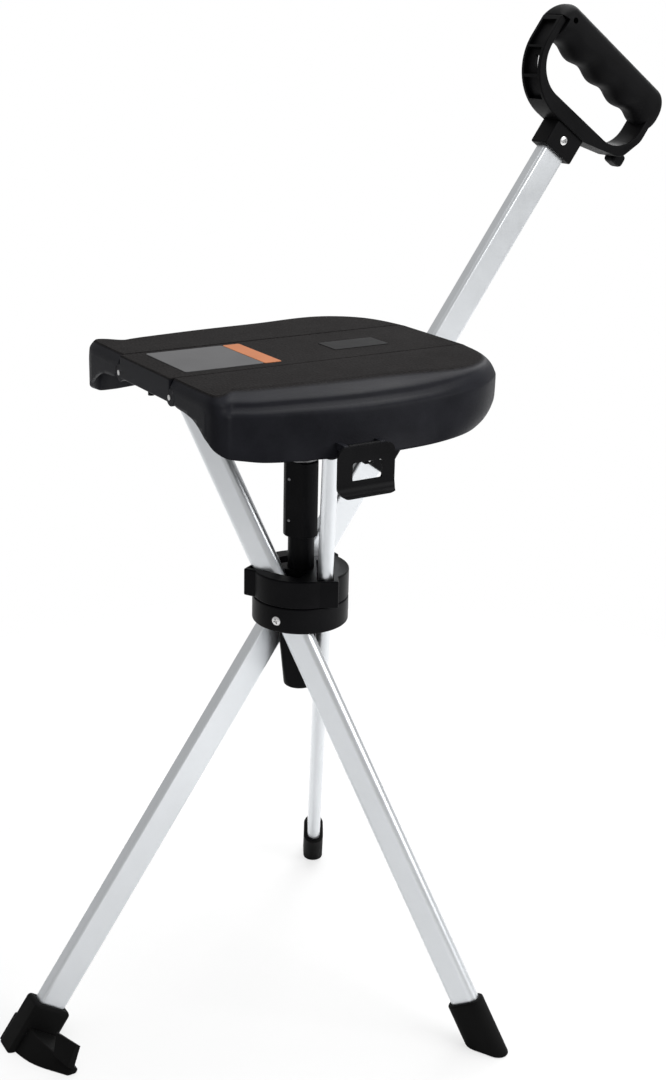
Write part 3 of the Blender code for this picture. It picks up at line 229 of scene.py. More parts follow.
# Sizes of the latch and its catch
LATCH_LEFT = -0.0530
LATCH_RIGHT = -0.0108
LATCH_RISE = 0.0093
LATCH_HEIGHT = 0.0245
LATCH_TOP = SEAT_TOP - SKIRT_DROP + LATCH_RISE
LATCH_BEND = LATCH_TOP - LATCH_HEIGHT
LATCH_THICK = 0.0018
LATCH_LIP = 0.0064
LATCH_ROUND = 0.0060
LATCH_BARREL = 0.0022
LATCH_COVER = 0.0020
LATCH_AXIS_Y = FLAP_HALF + SLIDE_GAP + LATCH_BARREL
LATCH_AXIS_Z = LATCH_TOP - LATCH_COVER
LATCH_WINDOW_SIDE = 0.0108
LATCH_WINDOW_WIDTH = 0.0220
LATCH_WINDOW_RISE = 0.0020
LATCH_WINDOW_HEIGHT = 0.0120
LATCH_WINDOW_ROUND = 0.0016
LATCH_CUT_DEEP = 0.02
LATCH_KEEP_DEEP = 0.05
LIP_SWEEP = 75.0
EAR_EDGE = 0.0003
EAR_PLACES = ((LATCH_LEFT + 0.0060, LATCH_LEFT + 0.0095), (LATCH_RIGHT - 0.0095, LATCH_RIGHT - 0.0060))
CATCH_X = -0.0248
CATCH_Y = -FLAP_HALF + 0.0010
CATCH_HALF = 0.0030
CATCH_DEEP = 0.0045
CATCH_DROP = 0.0062
CATCH_EDGE = 0.0008
CATCH_PIN_DROP = 0.0036
CATCH_PIN_PROFILE = ((0.0, -SINK), (0.0010, -SINK), (0.0010, 0.0004), (0.0006, 0.0007), (0.0, 0.0008))

# Sizes of the handle
HANDLE_HALF = 0.0612
HANDLE_TOP = 0.4745
HANDLE_LOW = 0.4020
HANDLE_ROUND = 0.0400
HANDLE_THICK = 0.0215
HANDLE_EDGE = 0.0009
HEEL = (-0.0525, 0.4130, 0.0120)
HEEL_TOP = (0.4330, 0.0160)
ARM = 0.0060
ARM_TOP = 0.4600
OPENING_HALF = HANDLE_HALF - ARM
OPENING_LOW = 0.4140
OPENING_ROUND = 0.0260
CHANNEL_HALF = 0.0078
CHANNEL_DEPTH = 0.0032
CHANNEL_FLOOR = HANDLE_ROUND - CHANNEL_DEPTH
CHANNEL_RISE = 0.0140
CHANNEL_SWEEPS = ((1.0, -10.5), (-13.0, -41.0), (-44.0, -68.0))
WINDOW_SWEEP = (-20.0, -34.0)
WINDOW_DEEP = 0.0060
SOCKET_LOW = 0.3825
SOCKET_HALF = 0.0150
SOCKET_THICK = 0.0175
SOCKET_EDGE = 0.0012
SCREW_X = 0.0010
SCREW_Z = 0.3930
SCREW_SEAT = SOCKET_THICK / 2 - SCREW_HEAD_HEIGHT
NUB_WIDTH = 0.0120
NUB_HIGH = 0.0100
NUB_DROP = 0.0040
NUB_SHIFT = 0.0030

# Sizes of the grip
GRIP_LOW = 0.4435
ARM_END = GRIP_LOW + 0.0090
GRIP_THICK = 0.0284
GRIP_WAVE = 0.0015
GRIP_WAVES = 4
GRIP_STATIONS = 84
GRIP_RIGHT = HANDLE_HALF + 0.0017
GRIP_LEFT_ROUND = 0.0120
GRIP_RIGHT_ROUND = 0.0100
GRIP_END_HIGH = 0.58
GRIP_END_THICK = 0.72
GRIP_FULLNESS = 0.9
GRIP_HOLE_X = 0.0505
GRIP_HOLE_Z = 0.4625
GRIP_HOLE_RADIUS = 0.0022

# Camera at the photograph's place
IMAGE_HEIGHT = 1080
SENSOR = 24.0
FOCAL_PIXELS = 1547.39
CENTRE_PIXELS = (302.16, 473.45)
IMAGE_CENTRE = (333.0, 540.0)
EYE = Vector((-0.5353, -0.8927, 0.7179))
GAZE = Vector((0.49183, 0.82024, -0.29207)).normalized()
ROLL = radians(0.8992)


def photo_camera():
    lens = bpy.data.cameras.new("camera")
    lens.sensor_fit = "VERTICAL"
    lens.sensor_height = SENSOR
    lens.lens = FOCAL_PIXELS * SENSOR / IMAGE_HEIGHT
    lens.shift_x = (IMAGE_CENTRE[0] - CENTRE_PIXELS[0]) / IMAGE_HEIGHT
    lens.shift_y = (CENTRE_PIXELS[1] - IMAGE_CENTRE[1]) / IMAGE_HEIGHT
    camera = bpy.data.objects.new("camera", lens)
    scene.collection.objects.link(camera)
    right = GAZE.cross(Vector((0, 0, 1))).normalized()
    aim = Matrix((right, right.cross(GAZE), -GAZE)).transposed().to_4x4()
    camera.matrix_world = Matrix.Translation(EYE + HUB) @ aim @ Matrix.Rotation(ROLL, 4, "Z")
    scene.camera = camera


photo_camera()


# Materials
PLASTIC_SHEEN = 0.05
PLASTIC_CLOUD = 38.0
GRAIN_HEIGHT = 0.0002
SIDE_CLOUD = 46.0
# Side tones: the black plastic's own tone, lifted and blued as a painted sheen reflected from the surroundings
SIDE_TONES_WITH_SHEEN = ((0.0085, 0.0088, 0.0112), (0.0135, 0.0139, 0.0174))
SIDE_ROUGH = (0.36, 0.46)
TOP_SPECKLE = 700.0
TOP_TONES = ((0.0045, 0.0041, 0.0042), (0.0160, 0.0146, 0.0145))
TOP_ROUGH = (0.80, 0.90)
TOP_STARTS = 0.0016
TOP_FULL = 0.0004
PEBBLES = 640.0
PEBBLE_HEIGHT = 0.0005
PEBBLE_STRENGTH = 0.6
SIDE_GRAIN = 1100.0
SIDE_GRAIN_SHARE = 0.16


def finish_nodes(name):
    """A new material with its node tree, its shader and its object coordinates."""
    material = bpy.data.materials.new(name)
    material.use_nodes = True
    tree = material.node_tree
    shader = tree.nodes["Principled BSDF"]
    place = tree.nodes.new("ShaderNodeTexCoord")
    return material, tree, shader, place.outputs["Object"]


def noise(tree, place, scale, detail=4.0, roughness=0.55):
    texture = tree.nodes.new("ShaderNodeTexNoise")
    texture.inputs["Scale"].default_value = scale
    texture.inputs["Detail"].default_value = detail
    texture.inputs["Roughness"].default_value = roughness
    tree.links.new(place, texture.inputs["Vector"])
    return texture.outputs["Fac"]


def spread(tree, value, low, high, start=0.25, end=0.75):
    """A value between start and end spread between two numbers."""
    step = tree.nodes.new("ShaderNodeMapRange")
    step.inputs["From Min"].default_value = start
    step.inputs["From Max"].default_value = end
    step.inputs["To Min"].default_value = low
    step.inputs["To Max"].default_value = high
    tree.links.new(value, step.inputs["Value"])
    return step.outputs["Result"]


def two_tone(tree, value, dark, light):
    """A dark and a light colour, blended by a value."""
    ramp = tree.nodes.new("ShaderNodeValToRGB")
    for element, position, colour in zip(ramp.color_ramp.elements, (0.3, 0.7), (dark, light)):
        element.position = position
        element.color = (*colour, 1.0)
    tree.links.new(value, ramp.inputs["Fac"])
    return ramp.outputs["Color"]


def mixed(tree, kind, share, first, second):
    """Two colours or two numbers mixed by a share."""
    step = tree.nodes.new("ShaderNodeMix")
    step.data_type = kind
    tree.links.new(share, step.inputs[0])
    sockets = (6, 7) if kind == "RGBA" else (2, 3)
    tree.links.new(first, step.inputs[sockets[0]])
    tree.links.new(second, step.inputs[sockets[1]])
    return step.outputs[2 if kind == "RGBA" else 0]


def bump(tree, shader, height, strength, distance):
    step = tree.nodes.new("ShaderNodeBump")
    step.inputs["Strength"].default_value = strength
    step.inputs["Distance"].default_value = distance
    tree.links.new(height, step.inputs["Height"])
    tree.links.new(step.outputs["Normal"], shader.inputs["Normal"])


def clouded(tree, shader, cloud, tones, rough):
    """Colour and roughness that both follow one cloudy pattern."""
    tree.links.new(two_tone(tree, cloud, *tones), shader.inputs["Base Color"])
    tree.links.new(spread(tree, cloud, *rough), shader.inputs["Roughness"])


def moulded_plastic(name, dark, light, rough, grain=900.0, depth=0.25):
    """Moulded plastic with a fine spark-eroded grain and faint handling marks."""
    material, tree, shader, place = finish_nodes(name)
    clouded(tree, shader, noise(tree, place, PLASTIC_CLOUD), (dark, light), rough)
    shader.inputs["Specular IOR Level"].default_value = PLASTIC_SHEEN
    bump(tree, shader, noise(tree, place, grain, 2.0), depth, GRAIN_HEIGHT)
    return material


def seat_shell(name):
    """Smooth black sides under a pebbled top, split by the height of the seat's top face; the sides' colour is
    lifted and blued by a painted reflected sheen.
    """
    material, tree, shader, place = finish_nodes(name)
    split = tree.nodes.new("ShaderNodeSeparateXYZ")
    tree.links.new(place, split.inputs["Vector"])
    top = spread(tree, split.outputs["Z"], 0.0, 1.0, SEAT_TOP - TOP_STARTS, SEAT_TOP - TOP_FULL)
    cloud = noise(tree, place, SIDE_CLOUD)
    # Painted sheen: the sides' colour is lifted and blued to stand in for a reflection
    side_colour_with_sheen = two_tone(tree, cloud, *SIDE_TONES_WITH_SHEEN)
    top_colour = two_tone(tree, noise(tree, place, TOP_SPECKLE, 3.0), *TOP_TONES)
    tree.links.new(mixed(tree, "RGBA", top, side_colour_with_sheen, top_colour), shader.inputs["Base Color"])
    side_rough = spread(tree, cloud, *SIDE_ROUGH)
    top_rough = spread(tree, cloud, *TOP_ROUGH)
    tree.links.new(mixed(tree, "FLOAT", top, side_rough, top_rough), shader.inputs["Roughness"])
    pebbles = tree.nodes.new("ShaderNodeTexVoronoi")
    pebbles.inputs["Scale"].default_value = PEBBLES
    tree.links.new(place, pebbles.inputs["Vector"])
    fine = spread(tree, noise(tree, place, SIDE_GRAIN, 2.0), 0.0, SIDE_GRAIN_SHARE)
    shader.inputs["Specular IOR Level"].default_value = PLASTIC_SHEEN
    relief = mixed(tree, "FLOAT", top, fine, pebbles.outputs["Distance"])
    bump(tree, shader, relief, PEBBLE_STRENGTH, PEBBLE_HEIGHT)
    return material


def bare_metal(name, colour, rough, scale=420.0, lift=1.1):
    """Bare metal, faintly clouded."""
    material, tree, shader, place = finish_nodes(name)
    lighter = tuple(min(1.0, lift * c) for c in colour)
    clouded(tree, shader, noise(tree, place, scale), (colour, lighter), rough)
    shader.inputs["Metallic"].default_value = 1.0
    return material


TUBE_METAL = bare_metal("tube_metal", (0.65, 0.67, 0.69), (0.31, 0.37), 26.0, 1.05)
HUB_PLASTIC = moulded_plastic("hub_plastic", (0.0034, 0.0034, 0.0040), (0.0060, 0.0060, 0.0068),
                              (0.34, 0.46))
HANDLE_PLASTIC = moulded_plastic("handle_plastic", (0.0027, 0.0027, 0.0030), (0.0050, 0.0050, 0.0055),
                                 (0.38, 0.50))
GRIP_RUBBER = moulded_plastic("grip_rubber", (0.0030, 0.0030, 0.0034), (0.0058, 0.0058, 0.0063),
                              (0.46, 0.58), 1400.0, 0.4)
SEAT_SHELL = seat_shell("seat_shell")
LATCH_PLASTIC = moulded_plastic("latch_plastic", (0.0033, 0.0033, 0.0038), (0.0060, 0.0060, 0.0066),
                                (0.36, 0.46))
FOOT_RUBBER = moulded_plastic("foot_rubber", (0.0028, 0.0028, 0.0028), (0.0056, 0.0056, 0.0056),
                              (0.50, 0.64), 1100.0, 0.4)
SCREW_STEEL = bare_metal("screw_steel", (0.62, 0.62, 0.62), (0.18, 0.30))
DULL_STEEL = bare_metal("dull_steel", (0.16, 0.16, 0.165), (0.32, 0.45))
PLATE_GREY = moulded_plastic("plate_grey", (0.072, 0.072, 0.074), (0.092, 0.092, 0.094),
                             (0.34, 0.46), 500.0, 0.1)
BAND_ORANGE = moulded_plastic("band_orange", (0.36, 0.130, 0.056), (0.42, 0.158, 0.072),
                              (0.34, 0.46), 500.0, 0.1)


# Outlines


def round_corners(corners, steps=10):
    """An outline from (x, y, radius) corners."""
    points = []
    for i, (x, y, radius) in enumerate(corners):
        here = Vector((x, y))
        if radius == 0:
            points.append((x, y))
            continue
        before = (Vector(corners[i - 1][:2]) - here).normalized()
        after = (Vector(corners[(i + 1) % len(corners)][:2]) - here).normalized()
        half = before.angle(after) / 2
        centre = here + (before + after).normalized() * radius / sin(half)
        reach = radius / sin(half) * cos(half)
        start = here + before * reach - centre
        sweep = start.angle_signed(here + after * reach - centre)
        for k in range(steps + 1):
            spoke = start.copy()
            spoke.rotate(Matrix.Rotation(-sweep * k / steps, 2))
            points.append(tuple(centre + spoke))
    return points


def rounded_rectangle(width, height, radius, steps=10, centre=(0.0, 0.0)):
    x, y = centre
    w = width / 2
    h = height / 2
    return round_corners([(x + w, y - h, radius), (x + w, y + h, radius), (x - w, y + h, radius),
                          (x - w, y - h, radius)], steps)


def flowing(points, steps=12):
    """A flowing line through points, as Catmull-Rom pieces."""
    line = []
    for i in range(len(points) - 1):
        p1 = Vector(points[i])
        p2 = Vector(points[i + 1])
        p0 = Vector(points[i - 1]) if i else 2 * p1 - p2
        p3 = Vector(points[i + 2]) if i + 2 < len(points) else 2 * p2 - p1
        for k in range(steps):
            t = k / steps
            line.append(0.5 * (2 * p1 + (p2 - p0) * t + (2 * p0 - 5 * p1 + 4 * p2 - p3) * t ** 2
                               + (3 * p1 - p0 - 3 * p2 + p3) * t ** 3))
    line.append(Vector(points[-1]))
    return line


def arc(centre, radius, start, end, steps=18):
    """Points on a circle, between two angles in degrees."""
    angles = [radians(start + (end - start) * k / steps) for k in range(steps + 1)]
    return [(centre[0] + radius * cos(angle), centre[1] + radius * sin(angle)) for angle in angles]


# Solids
SPIN_MERGE = 0.000005
CARVE_MERGE = 0.00001
CARVE_FLAT = radians(0.2)


def to_mesh(bm):
    bmesh.ops.recalc_face_normals(bm, faces=bm.faces)
    mesh = bpy.data.meshes.new("solid")
    bm.to_mesh(mesh)
    bm.free()
    return mesh


def soften(bm, width, segments=3, angle=40.0):
    """Rounds every edge that is sharper than an angle."""
    limit = radians(angle)
    sharp = [edge for edge in bm.edges if len(edge.link_faces) == 2 and edge.calc_face_angle() > limit]
    bmesh.ops.bevel(bm, geom=sharp, offset=width, segments=segments, profile=0.5, affect="EDGES",
                    clamp_overlap=True, material=-1)


def prism(points, depth, matrix=None, edge=0.0):
    """A flat outline as a plate centred on its plane, with its edges rounded when edge is set."""
    bm = bmesh.new()
    face = bm.faces.new([bm.verts.new((x, y, -depth / 2)) for x, y in points])
    raised = bmesh.ops.extrude_face_region(bm, geom=[face])["geom"]
    lifted = [v for v in raised if isinstance(v, bmesh.types.BMVert)]
    bmesh.ops.translate(bm, vec=(0, 0, depth), verts=lifted)
    bmesh.ops.recalc_face_normals(bm, faces=bm.faces)
    if edge:
        soften(bm, edge)
    if matrix is not None:
        bmesh.ops.transform(bm, matrix=matrix, verts=bm.verts)
    return to_mesh(bm)


def block(low, high, edge=0.0):
    size = [b - a for a, b in zip(low, high)]
    centre = [(a + b) / 2 for a, b in zip(low, high)]
    bm = bmesh.new()
    bmesh.ops.create_cube(bm, size=1.0)
    bmesh.ops.scale(bm, vec=size, verts=bm.verts)
    bmesh.ops.translate(bm, vec=centre, verts=bm.verts)
    if edge:
        soften(bm, edge)
    return to_mesh(bm)


def lathe(profile, steps=96):
    """A shape turned round Z from (radius, height) points."""
    bm = bmesh.new()
    verts = [bm.verts.new((radius, 0.0, height)) for radius, height in profile]
    edges = [bm.edges.new(pair) for pair in zip(verts, verts[1:])]
    bmesh.ops.spin(bm, geom=verts + edges, cent=(0, 0, 0), axis=(0, 0, 1), angle=2 * pi, steps=steps,
                   use_merge=True)
    bmesh.ops.remove_doubles(bm, verts=bm.verts, dist=SPIN_MERGE)
    return to_mesh(bm)


def facing(direction):
    """Turns Z towards a direction."""
    return direction.to_track_quat("Z", "Y").to_matrix().to_4x4()


def rod(start, end, radius, steps=32):
    """A straight round bar between two points."""
    start = Vector(start)
    end = Vector(end)
    along = end - start
    bm = bmesh.new()
    bmesh.ops.create_cone(bm, cap_ends=True, segments=steps, radius1=radius, radius2=radius,
                          depth=along.length, matrix=Matrix.Translation((start + end) / 2) @ facing(along))
    return to_mesh(bm)


def grow_skin(bm, ring, rings, closed):
    """Extrudes a ring of vertices from place to place and returns its last copy."""
    count = len(ring)
    spans = count if closed else count - 1
    edges = [bm.edges.new((ring[i], ring[(i + 1) % count])) for i in range(spans)]
    for places in rings:
        made = bmesh.ops.extrude_edge_only(bm, edges=edges)["geom"]
        fresh = {v for v in made if isinstance(v, bmesh.types.BMVert)}
        ring = [next(e.other_vert(v) for e in v.link_edges if e.other_vert(v) in fresh) for v in ring]
        for v, place in zip(ring, places):
            v.co = place
        edges = [bm.edges.get((ring[i], ring[(i + 1) % count])) for i in range(spans)]
    return ring


def loft(rings):
    """A closed solid through rings of equal count, with flat ends."""
    bm = bmesh.new()
    first = [bm.verts.new(place) for place in rings[0]]
    last = grow_skin(bm, first, rings[1:], True)
    bm.faces.new(first)
    bm.faces.new(last)
    return to_mesh(bm)


def carved(base, *steps):
    """A mesh after adding, cutting or keeping other meshes, in order."""
    holder = bpy.data.objects.new("work", base)
    scene.collection.objects.link(holder)
    tools = [holder]
    for operation, mesh in steps:
        tool = bpy.data.objects.new("tool", mesh)
        scene.collection.objects.link(tool)
        step = holder.modifiers.new("step", "BOOLEAN")
        step.operation = operation
        step.object = tool
        tools.append(tool)
    bpy.context.view_layer.update()
    result = bpy.data.meshes.new_from_object(holder.evaluated_get(bpy.context.evaluated_depsgraph_get()))
    for tool in tools:
        bpy.data.objects.remove(tool, do_unlink=True)
    return result


def softened(mesh, width, segments=2, angle=50.0):
    """A carved mesh with its edges rounded."""
    bm = bmesh.new()
    bm.from_mesh(mesh)
    bmesh.ops.remove_doubles(bm, verts=bm.verts, dist=CARVE_MERGE)
    bmesh.ops.dissolve_limit(bm, angle_limit=CARVE_FLAT, verts=bm.verts, edges=bm.edges)
    soften(bm, width, segments, angle)
    return to_mesh(bm)


def together(*meshes):
    bm = bmesh.new()
    for mesh in meshes:
        bm.from_mesh(mesh)
    return to_mesh(bm)


def mirrored(mesh):
    """The same piece on the near side."""
    mesh.transform(Matrix.Diagonal((1.0, -1.0, 1.0, 1.0)))
    mesh.flip_normals()
    return mesh


def on_side(side, mesh):
    """A piece drawn for the far side, put on either side."""
    return mirrored(mesh) if side == "near" else mesh


def turned_by(mesh, matrix):
    mesh.transform(matrix)
    return mesh


def upright(y=0.0):
    """Turns an (x, z) outline upright, so that its plate's thickness lies along Y."""
    return Matrix(((1, 0, 0, 0), (0, 0, -1, y), (0, 1, 0, 0), (0, 0, 0, 1)))


def along_x(start, end):
    """Turns a (y, z) outline so that its plate's thickness lies along X, between two places."""
    return Matrix(((0, 0, 1, (start + end) / 2), (1, 0, 0, 0), (0, 1, 0, 0), (0, 0, 0, 1)))


def put(name, mesh, material, node, stands_for=True, smooth=38.0):
    """Hangs a finished mesh on the body of a node, in the node's place or beside it."""
    mesh.transform(Matrix.Translation(HUB))
    mesh.name = name
    mesh.materials.clear()
    mesh.materials.append(material)
    mesh.shade_smooth()
    mesh.set_sharp_from_angle(angle=radians(smooth))
    piece = bpy.data.objects.new(name, mesh)
    scene.collection.objects.link(piece)
    shading = piece.modifiers.new("even_shading", "WEIGHTED_NORMAL")
    shading.keep_sharp = True
    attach(piece, BODY_OF[node])
    if stands_for:
        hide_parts(node)
    return piece


def leg_axes(leg):
    """Foot direction and pivot direction of a leg, seen from above."""
    turn = LEG_TURN[leg]
    out = Vector((cos(turn), sin(turn), 0.0))
    return out, Vector((out.y, -out.x, 0.0))


def leg_matrix(leg):
    """Leg axes at its pivot: X across the tube in its swing plane, Z up the tube."""
    out, side = leg_axes(leg)
    lean = LEG_LEAN[leg]
    up = Vector((0.0, 0.0, 1.0))
    along = -out * sin(lean) + up * cos(lean)
    across = out * cos(lean) + up * sin(lean)
    turn = Matrix((across, -side, along)).transposed().to_4x4()
    return Matrix.Translation(side * LEG_OFFSET + up * PIVOT_Z) @ turn


LONG = leg_matrix("long")


# Tubes


def between(low, top):
    """Moves a flat plate's middle halfway between two heights."""
    return Matrix.Translation((0, 0, (low + top) / 2))


def tube_outline(corner, grow=0.0):
    return rounded_rectangle(TUBE_WIDTH + 2 * grow, TUBE_THICK + 2 * grow, corner + grow)


def tube_core(leg, low, top):
    """The room that a tube takes up with its gap, between two heights."""
    return prism(tube_outline(TUBE_CORNER[leg], GAP), top - low, between(low, top))


def tube_skin(leg):
    """A tube's outer and inner skin, bridged at its ends."""
    low, top = TUBE_SPAN[leg]
    corner = TUBE_CORNER[leg]
    bm = bmesh.new()
    loops = []
    for outline in (tube_outline(corner), tube_outline(corner - TUBE_WALL / 2, -TUBE_WALL)):
        first = [bm.verts.new((x, y, low)) for x, y in outline]
        last = grow_skin(bm, first, [[(x, y, top) for x, y in outline]], True)
        loops.append((first, last))
    for ends in zip(*loops):
        edges = [bm.edges.get((ring[i - 1], ring[i])) for ring in ends for i in range(len(ring))]
        bmesh.ops.bridge_loops(bm, edges=edges)
    return to_mesh(bm)


for leg in TUBE_SPAN:
    put(f"{leg}_tube_skin", turned_by(tube_skin(leg), leg_matrix(leg)), TUBE_METAL, f"{leg}_leg_tube")


# Feet


def on_floor(mesh, edge):
    """Cuts a solid off at the floor and rounds its edges."""
    bm = bmesh.new()
    bm.from_mesh(mesh)
    everything = bm.verts[:] + bm.edges[:] + bm.faces[:]
    bmesh.ops.bisect_plane(bm, geom=everything, plane_co=(0, 0, 0), plane_no=(0, 0, 1), clear_inner=True)
    open_edges = [side for side in bm.edges if len(side.link_faces) == 1]
    bmesh.ops.contextual_create(bm, geom=open_edges)
    bmesh.ops.recalc_face_normals(bm, faces=bm.faces)
    soften(bm, edge)
    return to_mesh(bm)


for leg in ("near", "far"):
    boot_outline = rounded_rectangle(BOOT_WIDTH, BOOT_THICK, BOOT_THICK / 2 - GAP, 14)
    boot = prism(boot_outline, BOOT_TOP - BOOT_DEEP, between(BOOT_DEEP, BOOT_TOP))
    boot = on_floor(turned_by(boot, leg_matrix(leg)), BOOT_EDGE)
    bore = turned_by(tube_core(leg, TUBE_SPAN[leg][0] - GAP, BOOT_TOP + SINK), leg_matrix(leg))
    put(f"{leg}_boot_rubber", carved(boot, ("DIFFERENCE", bore)), FOOT_RUBBER, f"{leg}_leg_boot")

foot_front = flowing([(FOOT_FRONT, -FOOT_SIDE), FOOT_BEND, (FOOT_TIP, FOOT_REACH)], 16)
foot_outline = [tuple(point) for point in foot_front]
foot_outline += [(-FOOT_BACK, FOOT_REACH), (-FOOT_BACK, -FOOT_SIDE)]
foot = prism(foot_outline, FOOT_BASE_TOP - FOOT_DEEP, between(FOOT_DEEP, FOOT_BASE_TOP), FOOT_EDGE)
foot_sleeve = block((-FOOT_HALF, -FOOT_THICK / 2, FOOT_DEEP), (FOOT_HALF, FOOT_THICK / 2, FOOT_TOP),
                    FOOT_SLEEVE_EDGE)
rim_levels = ((RIM_LOW_CORNERS, FOOT_BASE_TOP - SINK), (RIM_TOP_CORNERS, RIM_TOP))
foot_rim = loft([[(x, RIM_REACH - short, height) for x, short in corners] for corners, height in rim_levels])
foot_bore = tube_core("long", TUBE_SPAN["long"][0] - GAP, FOOT_TOP + SINK)
foot = carved(foot, ("UNION", foot_sleeve), ("UNION", foot_rim), ("DIFFERENCE", foot_bore))
underground = block((-UNDERGROUND_HALF, -UNDERGROUND_HALF, -UNDERGROUND_DEEP),
                    (UNDERGROUND_HALF, UNDERGROUND_HALF, 0.0))
foot = carved(turned_by(foot, LONG), ("DIFFERENCE", underground))
put("long_foot_rubber", foot, FOOT_RUBBER, "long_leg_foot")


# Hub


def leg_slot(leg, low, high):
    """The slot that a leg swings in, between two heights of the hub."""
    lean = LEG_LEAN[leg]
    half = TUBE_WIDTH / 2
    reach = [-(z - PIVOT_Z) * sin(lean) / cos(lean) for z in (low, high)]
    start = min(min(reach) - half / cos(lean), -half) - 2 * GAP
    end = max(max(reach) + half / cos(lean), half) + 2 * GAP
    return start, end


def hub_block(leg, start, end, inner, outer, low, high, edge=0.0):
    """A box lined up with a leg's swing plane."""
    out, side = leg_axes(leg)
    mesh = block((start, inner, low), (end, outer, high), edge)
    mesh.transform(Matrix((out, side, (0, 0, 1))).transposed().to_4x4())
    mesh.flip_normals()
    return mesh


def ring_profile(low, high):
    """A rounded ring section round the post, as a closed line."""
    inner = POST_RADIUS + GAP
    line = round_corners([(inner, low, 0.0), (HUB_RADIUS, low, HUB_EDGE), (HUB_RADIUS, high, HUB_EDGE),
                          (inner, high, 0.0)], 5)
    return line + line[:1]


def screw(depth):
    """A cross-recess screw standing on Z, its head's seat at zero."""
    radius = SCREW_HEAD_RADIUS
    height = SCREW_HEAD_HEIGHT
    shank = radius / 2
    head = lathe([(0.0, -depth), (shank, -depth), (shank, 0.0), (radius, 0.0), (radius, height - SCREW_CROWN),
                  (0.86 * radius, height - 0.4 * SCREW_CROWN), (0.5 * radius, height), (0.0, height)], 40)
    arm = CROSS_ARM * radius
    slot = CROSS_SLOT * radius
    floor = CROSS_FLOOR * height
    return carved(head, ("DIFFERENCE", block((-arm, -slot, floor), (arm, slot, 2 * height))),
                  ("DIFFERENCE", block((-slot, -arm, floor), (slot, arm, 2 * height))))


lower_cuts = []
upper_adds = []
upper_cuts = []
hub_middle = Vector((0, 0, PIVOT_Z))
head_seat = HUB_RADIUS - SCREW_HEAD_HEIGHT
slot_inner = LEG_OFFSET - SLOT_HALF
slot_outer = LEG_OFFSET + SLOT_HALF
for leg in LEG_TURN:
    outward = leg_axes(leg)[1]
    start, end = leg_slot(leg, HUB_LOW, HUB_PARTING)
    slot = hub_block(leg, start, end, slot_inner, slot_outer, HUB_LOW - SINK, HUB_PARTING + SINK)
    pocket = rod(hub_middle + outward * head_seat, hub_middle + outward * (HUB_RADIUS + 2 * SINK),
                 SCREW_HEAD_RADIUS + GAP)
    lower_cuts += [("DIFFERENCE", slot), ("DIFFERENCE", pocket)]
    start, end = leg_slot(leg, HUB_PARTING, HUB_TOP)
    bulge = hub_block(leg, start - BULGE_END, start + HUB_RADIUS / 2, slot_inner - BULGE_WALL,
                      slot_outer + BULGE_WALL, HUB_PARTING + GAP, HUB_TOP, BULGE_EDGE)
    upper_adds.append(("UNION", bulge))
    slot = hub_block(leg, start, end, slot_inner, slot_outer, HUB_PARTING - SINK, HUB_TOP + SINK)
    upper_cuts.append(("DIFFERENCE", slot))
    head = screw(head_seat - LEG_OFFSET)
    head_place = Matrix.Translation(hub_middle + outward * (head_seat + GAP))
    head.transform(head_place @ facing(outward) @ Matrix.Rotation(SCREW_TURN, 4, "Z"))
    put(f"{leg}_cross_screw", head, SCREW_STEEL, f"{leg}_pivot_screw")
lower_ring = lathe(ring_profile(HUB_LOW, HUB_PARTING), HUB_STEPS)
put("hub_lower_shell", carved(lower_ring, *lower_cuts), HUB_PLASTIC, "hub_lower_ring")
upper_ring = lathe(ring_profile(HUB_PARTING + GAP, HUB_TOP), HUB_STEPS)
put("hub_upper_shell", carved(upper_ring, *upper_adds, *upper_cuts), HUB_PLASTIC, "hub_upper_ring")


# Post


def with_flats(mesh, low, high):
    """Three flats, one facing each leg's pivot."""
    flats = [hub_block(leg, -HUB_RADIUS, HUB_RADIUS, SLEEVE_FLAT, HUB_RADIUS, low - SINK, high + SINK)
             for leg in LEG_TURN]
    return carved(mesh, *[("DIFFERENCE", flat) for flat in flats])


post_low = HUB_LOW - GAP
post_bar = lathe([(0.0, post_low), (POST_RADIUS, post_low), (POST_RADIUS, POST_TOP), (0.0, POST_TOP)])
put("post_bar", post_bar, HUB_PLASTIC, "post_tube")
tail_corners = [(0.0, TAIL_TOP, 0.0), (0.0, TAIL_LOW, 0.0), (TAIL_END_RADIUS, TAIL_LOW, TAIL_END_ROUND),
                (TAIL_TOP_RADIUS, TAIL_TOP, 0.0)]
tail_line = round_corners(tail_corners, 6)[1:] + [(0.0, TAIL_TOP)]
tail = softened(with_flats(lathe(tail_line), TAIL_LOW, TAIL_TOP), TAIL_EDGE)
put("post_tail_cone", tail, HUB_PLASTIC, "post_tail")
sleeve_bore = POST_RADIUS + GAP
sleeve_line = round_corners([(sleeve_bore, SLEEVE_LOW, 0.0), (SLEEVE_RADIUS, SLEEVE_LOW, SLEEVE_RIM),
                             (SLEEVE_RADIUS, SLEEVE_TOP, SLEEVE_RIM), (sleeve_bore, SLEEVE_TOP, 0.0)], 5)
sleeve = with_flats(lathe(sleeve_line + sleeve_line[:1]), SLEEVE_LOW, SLEEVE_TOP)
put("post_sleeve_shell", sleeve, HUB_PLASTIC, "post_sleeve")
washer = lathe(round_corners([(0.0, WASHER_LOW, 0.0), (WASHER_RADIUS, WASHER_LOW, SMALL_EDGE),
                              (WASHER_RADIUS, WASHER_TOP, SMALL_EDGE), (0.0, WASHER_TOP, 0.0)], 4))
put("post_washer_disc", washer, DULL_STEEL, "post_washer")
head_low = WASHER_TOP + GAP
head_top = SEAT_TOP - POST_PAD_DROP - GAP
flare_reach = HEAD_PAD_RADIUS + HEAD_PAD_THICK
head_line = [(0.0, head_low), (HEAD_RADIUS, head_low)]
